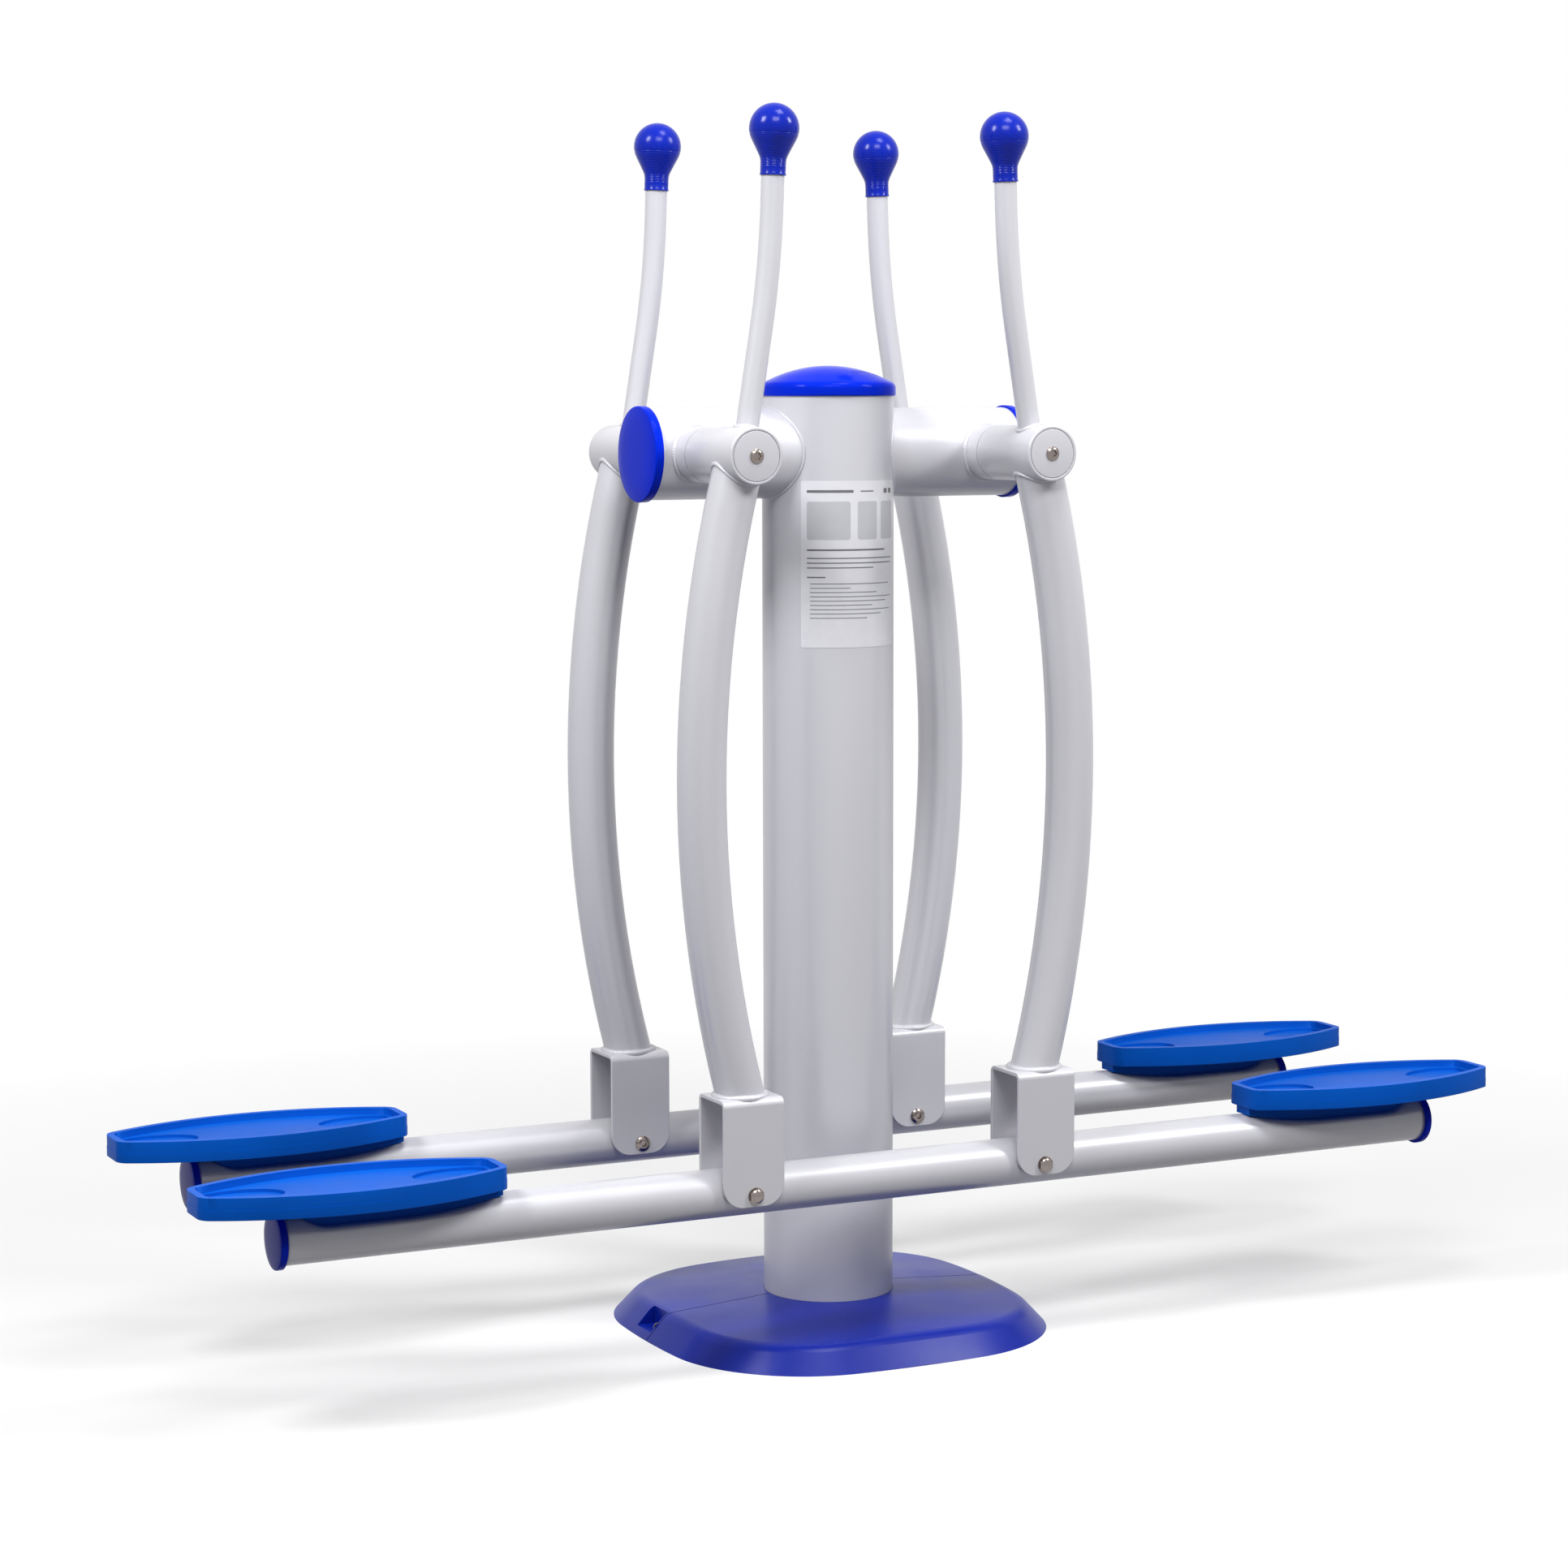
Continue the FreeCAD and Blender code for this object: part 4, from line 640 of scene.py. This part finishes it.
class AIRWALKER_OT_welds(AirwalkerOperator, bpy.types.Operator):
    """Lay the painted weld beads where tubes meet"""

    bl_idname = "airwalker.welds"
    bl_label = "Welds"

    def make(self, paints, mouldings, steels):
        for arm, out, sign in arms():
            body, hub = arm + "_arm", middle(arm + "_hub")
            root = Vector((hub.x, middle(arm + "_leg").y, HUB_HEIGHT))
            leg, handle = extent(arm + "_leg").y / 2, extent(arm + "_handle").y / 2
            round_hub = self.round_tube(hub, (0, 1, 0), HUB_RADIUS)
            self.bead(arm + "_leg_weld", body, root, slant(sign, LEG_LEAN, -1), leg, round_hub,
                      steels.weld * 0.75)
            self.bead(arm + "_handle_weld", body, root - Vector((sign * 3 * MM, 0, 0)),
                      slant(-sign, HANDLE_LEAN, 1), handle, round_hub, steels.weld * 0.8)
            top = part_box(arm + "_clevis")[1].z
            self.bead(arm + "_clevis_weld", body, Vector((hub.x + sign * 4 * MM, root.y, top)),
                      slant(-sign, LEG_FOOT_LEAN, -1), leg,
                      lambda point, way, top=top: (top - point.z) / way.z, steels.weld * 1.25)
            spot = Vector((sign * AXLE_X, 0, HUB_HEIGHT))
            self.bead(arm + "_collar_weld", "frame", spot, (0, out, 0), HUB_RADIUS,
                      self.round_tube(spot, (1, 0, 0), CROSSBEAM_RADIUS), steels.weld)
        spot = Vector((0, 0, HUB_HEIGHT))
        for side, sign in SIDES.items():
            self.bead("crossbeam_weld_" + side, "frame", spot, (sign, 0, 0), CROSSBEAM_RADIUS,
                      self.round_tube(spot, (0, 0, 1), COLUMN_RADIUS), steels.weld * 0.5)

    def round_tube(self, point_on, line, radius):
        """Distance from a point along a way to the far side of a round tube."""
        line = Vector(line)

        def meet(point, way):
            offset = point - point_on
            offset -= offset.dot(line) * line
            across = way - way.dot(line) * line
            a, b, c = across.dot(across), 2 * offset.dot(across), offset.dot(offset) - radius ** 2
            return (-b + math.sqrt(max(b * b - 4 * a * c, 0.0))) / (2 * a)
        return meet

    def bead(self, name, body, start, way, radius, meet, size):
        """Ring of weld round a tube, pushed along the tube to where it meets its neighbour."""
        way = Vector(way)
        core_radius = radius + 0.15 * size
        ring = arc((core_radius, 0), size, 0, 360, 10)[:-1]
        bm = turned(ring, closed=True, steps=max(96, int(math.tau * radius / (1.1 * MM))))
        ripples = round(math.tau * radius / (3.4 * MM))
        stand = Vector((0, 0, 1)).rotation_difference(way).to_matrix()
        for vert in bm.verts:
            turn = math.atan2(vert.co.y, vert.co.x)
            flat = Vector((math.cos(turn), math.sin(turn), 0))
            swell = 1 + 0.07 * math.cos(ripples * turn) + 0.08 * math.sin(5 * turn + radius * 900)
            core = flat * core_radius
            base = start + stand @ (flat * radius)
            vert.co = start + stand @ (core + (vert.co - core) * swell) + way * meet(base, way)
        settle(name, bm, body, "silver_paint", sharp=75.0)


class AIRWALKER_OT_fasteners(AirwalkerOperator, bpy.types.Operator):
    """Fit the bolts, cap nuts and screws"""

    bl_idname = "airwalker.fasteners"
    bl_label = "Fasteners"

    def make(self, paints, mouldings, steels):
        for row, out in ROWS.items():
            for side in SIDES:
                self.pivot("%s_%s" % (row, side), out)
            low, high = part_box(row + "_beam_pad_bolts")
            y, z = (low.y + high.y) / 2, low.z + 4.5 * MM
            self.heads(row + "_beam_bolt_heads", row + "_beam", row + "_beam_pad_bolts",
                       [aim((x, y, z), (0, 0, -1)) for x in bolt_places(steels)],
                       radius=8 * MM, height=4.5 * MM, recess=3.2 * MM, depth=2.4 * MM, form=hexagon)
        places = []
        for arm, out, sign in arms():
            disc = "axle_disc_" + arm
            face = middle(disc) + Vector((0, out * extent(disc).y / 2, 0))
            places.append(aim(face, (0, out, 0)))
        self.heads("axle_screw_heads", "frame", "axle_screws", places,
                   radius=8.75 * MM, height=4.6 * MM, recess=4.6 * MM, depth=2.6 * MM, form=star)
        low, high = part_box("base_cover_screws")
        radius, height = 5.5 * MM, 3.5 * MM
        x, y, z = high.x - radius, high.y - height, (low.z + high.z) / 2
        self.heads("base_cover_screw_heads", "frame", "base_cover_screws",
                   [aim((sign * x, y, z), (0, 1, 0)) for sign in SIDES.values()],
                   radius=radius, height=height, recess=2.4 * MM, depth=1.8 * MM, form=hexagon)

    def heads(self, name, body, replaced, places, **sizes):
        """Equal button heads at several places, as one piece."""
        bm = bmesh.new()
        for place in places:
            add_shape(bm, button_head(**sizes), place)
        settle(name, bm, body, "stainless", (replaced,), sharp=30.0)

    def pivot(self, arm, out):
        """Bolt with its socket head towards the column and a cap nut on the far side."""
        name = arm + "_pivot_bolt"
        shank, washer = 6 * MM, 1.0 * MM
        face = extent(arm + "_clevis").y / 2
        radius, height = extent(name).x / 2, extent(name).y / 2 - face
        bm = turned([(0, -face), (shank, -face), (shank, face), (0, face)], steps=48)
        head = button_head(radius, height, recess=4.4 * MM, depth=3 * MM, form=hexagon)
        add_shape(bm, head, aim((0, 0, face), (0, 0, 1)))
        disc = turned([(0, 0), (radius * 1.02, 0), (radius * 1.02, washer), (0, washer)], steps=72)
        add_shape(bm, disc, aim((0, 0, -face), (0, 0, -1)))
        add_shape(bm, dome_nut(radius * 0.98, height * 1.15), aim((0, 0, -face - washer), (0, 0, -1)))
        settle(name + "_set", bm, arm + "_arm", "stainless", (name,), aim(middle(name), (0, -out, 0)),
               sharp=30.0)


class AIRWALKER_OT_caps(AirwalkerOperator, bpy.types.Operator):
    """Mould the caps of the column, the crossbeam and the foot beams"""

    bl_idname = "airwalker.caps"
    bl_label = "Caps"

    def make(self, paints, mouldings, steels):
        self.column_cap()
        for side, sign in SIDES.items():
            self.end_cap("crossbeam_cap_" + side, "crossbeam", "frame", sign, mouldings)
            for beam in ("front_beam", "rear_beam"):
                self.end_cap("%s_cap_%s" % (beam, side), beam + "_tube", beam, sign, mouldings)

    def column_cap(self):
        """Plug in the tube, rim and shallow dome."""
        low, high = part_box("column_cap")
        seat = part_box("column")[1].z
        radius, height, foot = extent("column_cap").x / 2, high.z - seat, low.z - seat
        rim, plug, edge = 15.5 * MM, COLUMN_RADIUS - 5 * MM, radius - 1.5 * MM
        bend = (edge ** 2 + (height - rim) ** 2) / (2 * (height - rim))
        dome = [(r, height - bend + math.sqrt(bend ** 2 - r ** 2))
                for r in (edge * k / 10 for k in range(9, 0, -1))]
        points = [(0, foot), (plug, foot), (plug, 0), (radius, 0), (radius, rim), *dome, (0, height)]
        bm = turned(points, ((3, 1.6 * MM), (4, 5.5 * MM)), steps=128)
        settle("column_cap_dome", bm, "frame", "blue_cap", ("column_cap",), Matrix.Translation((0, 0, seat)),
               sharp=50.0)

    def end_cap(self, name, tube, body, sign, mouldings):
        """Round cap with an eased rim and a slightly crowned face."""
        radius = extent(name).z / 2
        low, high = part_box(tube)
        face = high.x if sign > 0 else -low.x
        thick = (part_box(name)[1].x if sign > 0 else -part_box(name)[0].x) - face
        plug, foot = radius * 0.8, -8 * MM
        points = [(0, foot), (plug, foot), (plug, 0), (radius, 0), (radius, thick - 0.03 * radius),
                  (radius * 0.7, thick - 0.5 * MM), (radius * 0.35, thick - 0.1 * MM), (0, thick)]
        bm = turned(points, ((3, 1.0 * MM), (4, mouldings.cap_round)))
        spot = Vector((sign * face, middle(name).y, middle(name).z))
        settle(name + "_moulding", bm, body, "blue_cap", (name,), aim(spot, (sign, 0, 0)), sharp=60.0)


class AIRWALKER_OT_knobs(AirwalkerOperator, bpy.types.Operator):
    """Turn the knobs with their grip grooves"""

    bl_idname = "airwalker.knobs"
    bl_label = "Knobs"

    def make(self, paints, mouldings, steels):
        tall = 86.5 * MM
        for arm, out, sign in arms():
            name = arm + "_knob"
            low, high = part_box(name)
            ball = extent(name).y / 2
            way = slant(-sign, mouldings.knob_lean, 1)
            centre = Vector((low.x + ball if sign > 0 else high.x - ball, middle(name).y, high.z - ball))
            settle(name + "_grip", turned(self.outline(ball, tall, mouldings)), arm + "_arm", "blue_knob",
                   (name,), aim(centre - way * (tall - ball), way), sharp=60.0)

    def outline(self, ball, tall, mouldings):
        """Lip, neck, grooved taper, parting ring, ball and the small nub on top."""
        neck, bore, slope, soft = 15.4 * MM, 14.1 * MM, math.radians(27.5), 1.6 * MM
        first_groove, ring = 10 * MM, 50 * MM
        centre = tall - ball
        top_r, top_z = ball * math.cos(slope), centre - ball * math.sin(slope)
        neck_z = top_z - (top_r - neck) / math.tan(slope)

        def girth(height):
            """Radius at a height: neck, taper or ball, with a hollow where neck and taper meet."""
            if height > top_z:
                return math.sqrt(ball ** 2 - (height - centre) ** 2)
            taper = top_r - (top_z - height) * (top_r - neck) / (top_z - neck_z)
            return (taper + neck + math.sqrt((taper - neck) ** 2 + soft ** 2)) / 2

        points = [(0, 2 * MM), (bore, 2 * MM), (bore, 0), (neck + 0.5 * MM, 0), (neck + 0.6 * MM, 1.4 * MM),
                  (neck, 2.6 * MM)]
        height, half, deep = first_groove, mouldings.knob_pitch / 2, mouldings.knob_groove
        while height < ring:
            for rise, sunk in ((0, 0), (half * 0.9, 0), (half * 1.2, deep), (half * 1.7, deep)):
                points.append((girth(height + rise) - sunk, height + rise))
            height += 2 * half
        points.append((girth(ring + 0.4 * MM) - 0.5 * MM, ring + 0.4 * MM))
        points += [(r, centre + z) for r, z in arc((0, 0), ball, -10.5, 80, 28)]
        points += [(2.4 * MM, tall - 0.7 * MM), (2.2 * MM, tall - 0.1 * MM), (0, tall)]
        return points


class AIRWALKER_OT_pads(AirwalkerOperator, bpy.types.Operator):
    """Mould the four foot pads"""

    bl_idname = "airwalker.pads"
    bl_label = "Foot pads"

    def make(self, paints, mouldings, steels):
        tall, half_rib = 26.5 * MM, 2 * MM
        for arm, out, sign in arms():
            name = arm.replace("_", "_beam_pad_")
            low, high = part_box(name)
            spot, half = (low + high) / 2, (high - low) / 2
            bm = self.moulding(half.x, half.y, tall, mouldings)
            seat = sign * steels.seat_middle - spot.x
            add_shape(bm, self.saddle(seat, -sign, low.z - high.z + tall, tall - 13 * MM, steels))
            for x in (-125 * MM, -76 * MM, 76 * MM, 125 * MM):
                add_shape(bm, block((x - half_rib, -33 * MM, 0.2 * MM), (x + half_rib, 33 * MM, 13.5 * MM)))
            settle(name + "_moulding", bm, name.split("_pad")[0], "blue_pad", (name,),
                   Matrix.Translation((spot.x, spot.y, high.z - tall)), sharp=50.0)

    def saddle(self, seat, inward, bottom, top, steels):
        """Boss on the pressed seat, drawn out to a rib that follows the seat's ramps along the tube."""
        wide, strips = 15 * MM, 56
        start, end = sorted((seat + inward * (steels.seat_half + 127 * MM),
                             seat - inward * (steels.seat_half + 62 * MM)))
        bm = block((start, -wide, bottom), (end, wide, top))
        cut_strips(bm, start, end, strips)
        for vert in bm.verts:
            if vert.co.z < bottom + 1e-6:
                inner = (vert.co.x - seat) * inward > 0
                ramp = steels.seat_ramp_in if inner else steels.seat_ramp_out
                away = min(max(abs(vert.co.x - seat) - steels.seat_half, 0.0), ramp)
                vert.co.z += seat_rise(away, ramp, steels)
        return bm

    def moulding(self, half, wide, tall, mouldings):
        """Bowed outline drawn up to a skirt with a parting ledge, then rim, tread, pockets and hollow."""
        bm = bmesh.new()
        self.outline(bm, half, wide, mouldings.pad_end / 2)
        base = bmesh.ops.contextual_create(bm, geom=bm.edges[:])["faces"]
        parting, level = 0.46 * tall, tall - mouldings.pad_recess
        floor = level - mouldings.pad_pocket
        top = self.draw_up(bm, base, parting, keep=True)
        top = self.draw_up(bm, top, 0)
        shrink = (1 - mouldings.pad_ledge / half, 1 - mouldings.pad_ledge / wide, 1)
        bmesh.ops.scale(bm, vec=shrink, verts=[v for f in top for v in f.verts])
        top = self.draw_up(bm, top, tall - parting)
        bmesh.ops.inset_region(bm, faces=top, thickness=mouldings.pad_rim, use_even_offset=True)
        tread = self.draw_up(bm, top, -mouldings.pad_recess)
        bmesh.ops.delete(bm, geom=tread, context="FACES_ONLY")
        for sign in (-1, 1):
            self.pocket(bm, sign, half - mouldings.pad_rim - mouldings.pocket_in, level, mouldings)
        loops = [e for e in bm.edges if e.is_boundary]
        pockets = list({f for e in loops for f in e.link_faces if len(f.verts) > 20})
        bmesh.ops.triangle_fill(bm, use_beauty=True, use_dissolve=False, edges=loops, normal=(0, 0, 1))
        for face in pockets:
            self.draw_up(bm, [face], -mouldings.pad_pocket)
        face_out(bm)
        self.ease(bm, tall, 2.6 * MM, 4)
        self.ease(bm, 0.0, mouldings.pad_foot, 5)
        low_faces = (f for f in bm.faces if abs(f.calc_center_median().z) < 1e-6)
        base = [max(low_faces, key=lambda f: f.calc_area())]
        bmesh.ops.inset_region(bm, faces=base, thickness=0.6 * MM, use_even_offset=False)
        self.draw_up(bm, base, floor - mouldings.pad_skin)
        face_out(bm)
        self.ease(bm, level, 1.0 * MM, 2)
        self.ease(bm, floor, 1.2 * MM, 3)
        return bm

    def outline(self, bm, half, wide, end):
        """Two bowed sides spun from a corner each, two flat ends, softened corners."""
        bow = wide - end
        radius = (half ** 2 + bow ** 2) / (2 * bow)
        turn = 2 * math.asin(half / radius)
        ends = []
        for sign in (1, -1):
            corner = bm.verts.new((sign * half, sign * end, 0))
            side = bmesh.ops.spin(bm, geom=[corner], cent=(0, sign * (wide - radius), 0), axis=(0, 0, 1),
                                  angle=turn, steps=36)
            ends += [corner, *points_in(side["geom_last"])]
        bm.edges.new((ends[1], ends[2]))
        bm.edges.new((ends[3], ends[0]))
        soften_corners(bm, ends, 12 * MM, 6)

    def draw_up(self, bm, faces, rise, keep=False):
        """Extrude faces along Z and hand back the moved faces; keep leaves the old ones as a floor."""
        drawn = bmesh.ops.extrude_face_region(bm, geom=faces)["geom"]
        bmesh.ops.translate(bm, vec=(0, 0, rise), verts=points_in(drawn))
        if not keep:
            bmesh.ops.delete(bm, geom=faces, context="FACES_ONLY")
        return [part for part in drawn if isinstance(part, bmesh.types.BMFace)]

    def pocket(self, bm, sign, end, level, mouldings):
        """Add an ellipse that points to the pad's middle, cut off towards the pad's end."""
        cup = bmesh.new()
        long, back = 0.57 * mouldings.pocket_length, 0.43 * mouldings.pocket_length
        wide = (mouldings.pad_end / 2 - mouldings.pad_rim - 0.5 * MM) / math.sqrt(1 - (back / long) ** 2)
        size = Matrix.Diagonal((long, wide, 1, 1))
        bmesh.ops.create_circle(cup, cap_ends=True, segments=64, radius=1.0, matrix=size)
        bmesh.ops.bisect_plane(cup, geom=[*cup.verts, *cup.edges, *cup.faces], plane_co=(back, 0, 0),
                               plane_no=(1, 0, 0), clear_outer=True)
        bmesh.ops.remove_doubles(cup, verts=cup.verts, dist=0.5 * MM)
        soften_corners(cup, [v for v in cup.verts if v.co.x > back - 0.1 * MM], 5 * MM)
        turn = Matrix.Rotation(0.0 if sign > 0 else math.pi, 4, "Z")
        add_shape(bm, cup, Matrix.Translation((sign * (end - back), 0, level)) @ turn)

    def ease(self, bm, height, reach, steps):
        """Round the sharp edges that lie at a height."""
        edges = [e for e in bm.edges if all(abs(v.co.z - height) < 1e-6 for v in e.verts)
                 and e.is_manifold and e.calc_face_angle() > 0.7]
        if edges:
            bmesh.ops.bevel(bm, geom=edges, offset=reach, offset_type="OFFSET", segments=steps, profile=0.5,
                            affect="EDGES", material=-1, clamp_overlap=True)


class AIRWALKER_OT_sticker(AirwalkerOperator, bpy.types.Operator):
    """Lay a plain sticker with neutral bars on the column's front"""

    bl_idname = "airwalker.sticker"
    bl_label = "Sticker"

    def make(self, paints, mouldings, steels):
        bm = bmesh.new()
        wide, tall, low = 148 * MM, 210 * MM, 886 * MM
        film_lift, print_lift = 0.25 * MM, 0.32 * MM
        film, ink, tint = 0, 1, 2
        self.patch(bm, 0, 0, wide, tall, film_lift, film, 3.0 * MM)
        # Bars as (left, bottom, width, height) in mm on the sheet
        bars = [(-66, 195, 60, 3.4), (4, 196, 20, 1.6), (44, 194, 8, 6.0), (56, 194, 8, 6.0)]
        bars += [(-66, 122, 112, 2.2)] + [(-66, z, w, 1.4) for z, w in ((112, 132), (106, 128), (100, 90))]
        bars += [(-66, 88, 24, 1.6)] + [(-62, 80 - 5.4 * i, w, 1.0)
                                        for i, w in enumerate((118, 52, 92, 124, 110, 84, 120, 100, 76))]
        for x, z, w, h in bars:
            self.patch(bm, (x + w / 2) * MM, z * MM, w * MM, h * MM, print_lift, ink, 0.4 * MM)
        for x, w in ((-66, 56), (0, 30), (38, 30)):
            self.patch(bm, (x + w / 2) * MM, 136 * MM, w * MM, 48 * MM, print_lift, tint, 3.0 * MM)
        for vert in bm.verts:
            turn = vert.co.x / COLUMN_RADIUS
            radius = COLUMN_RADIUS + vert.co.y
            vert.co.x, vert.co.y = radius * math.sin(turn), -radius * math.cos(turn)
        settle("column_sticker", bm, "frame", "silver_paint", matrix=Matrix.Translation((0, 0, low)),
               materials=("sticker_film", "sticker_ink", "sticker_tint"))

    def patch(self, bm, x, z, wide, tall, lift, index, corner):
        """Flat rectangle with round corners, cut into strips so that it can follow the column."""
        sheet = bmesh.new()
        stand = Matrix.Rotation(math.radians(90), 4, "X")
        size = Matrix.Diagonal((wide / 2, 1, tall / 2, 1))
        bmesh.ops.create_grid(sheet, x_segments=1, y_segments=1, size=1.0, matrix=size @ stand)
        soften_corners(sheet, sheet.verts[:], corner, 3)
        cut_strips(sheet, -wide / 2, wide / 2, max(2, round(wide / (4 * MM))))
        bmesh.ops.translate(sheet, vec=(x, lift, z + tall / 2), verts=sheet.verts)
        before = len(bm.faces)
        add_shape(bm, sheet)
        bm.faces.ensure_lookup_table()
        for face in bm.faces[before:]:
            face.material_index = index
            face.normal_update()
            if face.normal.y < 0:
                face.normal_flip()


class AIRWALKER_OT_stage(bpy.types.Operator):
    """Set the floor, the lights, the world and the camera"""

    bl_idname = "airwalker.stage"
    bl_label = "Stage"

    def execute(self, context):
        stage = context.scene.airwalker_stage
        self.floor()
        self.world(stage)
        for name, (at, wide, tall) in SOFTBOXES.items():
            self.lamp(name + "_softbox", at, wide, tall, getattr(stage, name + "_light"))
        self.camera(context.scene, stage)
        context.scene.view_settings.view_transform = "Standard"
        return {"FINISHED"}

    def floor(self):
        """Pale floor that fades to white far away and keeps the shadow."""
        mesh = bpy.data.meshes.new("floor")
        bm = bmesh.new()
        bmesh.ops.create_circle(bm, cap_ends=True, radius=40.0, segments=64)
        bm.to_mesh(mesh)
        bm.free()
        tree, shader, where = tree_of("pale_floor")
        seen = seen_rays(tree)
        tone = blend_colours(tree, seen, (0.12, 0.12, 0.125), (0.88, 0.88, 0.885))
        feed(shader, {"Base Color": tone, "Roughness": 0.8})
        glow = node(tree, "Emission", {"Color": (1, 1, 1, 1), "Strength": 1.0})
        away = node(tree, "VectorMath", {0: where}, operation="LENGTH").outputs["Value"]
        fade = combine(tree, spread(tree, away, 0.42, 1.0, 0.6, 2.2), seen)
        mix = node(tree, "MixShader", {0: fade, 1: shader.outputs[0], 2: glow.outputs[0]})
        feed(tree.nodes["Material Output"], {"Surface": mix.outputs[0]})
        mesh.materials.append(finish("pale_floor"))
        floor = add_object("floor", mesh)

    def world(self, stage):
        """White to the eye and in reflections, soft grey as a light."""
        world = bpy.data.worlds.new("studio")
        world.use_nodes = True
        tree = world.node_tree
        strength = combine(tree, seen_rays(tree), stage.ambient, "MAXIMUM")
        feed(tree.nodes["Background"], {"Strength": strength, "Color": (1, 1, 1, 1)})
        bpy.context.scene.world = world

    def lamp(self, name, at, wide, tall, energy):
        light = bpy.data.lights.new(name, "AREA")
        light.shape, light.size, light.size_y, light.energy = "RECTANGLE", wide, tall, energy
        lamp = add_object(name, light)
        lamp.location = at
        lamp.rotation_mode = "QUATERNION"
        lamp.rotation_quaternion = (Vector(LAMP_TARGET) - Vector(at)).to_track_quat("-Z", "Y")

    def camera(self, scene, stage):
        yaw, pitch, roll = stage.yaw, stage.pitch, stage.roll
        ahead = Vector((math.sin(yaw) * math.cos(pitch), math.cos(yaw) * math.cos(pitch), math.sin(pitch)))
        level = Vector((math.cos(yaw), -math.sin(yaw), 0))
        over = level.cross(ahead)
        right = level * math.cos(roll) + over * math.sin(roll)
        up = over * math.cos(roll) - level * math.sin(roll)
        data = bpy.data.cameras.new("camera")
        data.sensor_width, data.lens, data.clip_end = 36.0, stage.lens, 100.0
        camera = add_object("camera", data)
        turn = Matrix((right, up, -ahead)).transposed().to_4x4()
        camera.matrix_world = Matrix.Translation(Vector(stage.camera_at)) @ turn
        scene.camera = camera


class AIRWALKER_PT_panel(bpy.types.Panel):
    """Steps and settings of the air walker's looks"""

    bl_idname = "AIRWALKER_PT_panel"
    bl_label = "Air Walker"
    bl_space_type = "VIEW_3D"
    bl_region_type = "UI"
    bl_category = "Air Walker"

    def draw(self, context):
        for step in STEPS:
            self.layout.operator(step.bl_idname)
        for name in SETTINGS:
            box = self.layout.box()
            group = getattr(context.scene, name)
            for key in group.__annotations__:
                box.prop(group, key)


STEPS = (AIRWALKER_OT_finishes, AIRWALKER_OT_hubs, AIRWALKER_OT_clevises, AIRWALKER_OT_beams,
         AIRWALKER_OT_welds, AIRWALKER_OT_fasteners, AIRWALKER_OT_caps, AIRWALKER_OT_knobs,
         AIRWALKER_OT_pads, AIRWALKER_OT_sticker, AIRWALKER_OT_stage)
SETTINGS = {"airwalker_paint": PaintSettings, "airwalker_moulding": MouldingSettings,
            "airwalker_steel": SteelSettings, "airwalker_stage": StageSettings}


def register():
    for group in (*SETTINGS.values(), *STEPS, AIRWALKER_PT_panel):
        bpy.utils.register_class(group)
    for name, group in SETTINGS.items():
        setattr(bpy.types.Scene, name, PointerProperty(type=group))


def unregister():
    for name in SETTINGS:
        delattr(bpy.types.Scene, name)
    for group in reversed((*SETTINGS.values(), *STEPS, AIRWALKER_PT_panel)):
        bpy.utils.unregister_class(group)


def main():
    register()
    for step in STEPS:
        group, name = step.bl_idname.split(".")
        getattr(getattr(bpy.ops, group), name)()


if __name__ == "__main__":
    main()
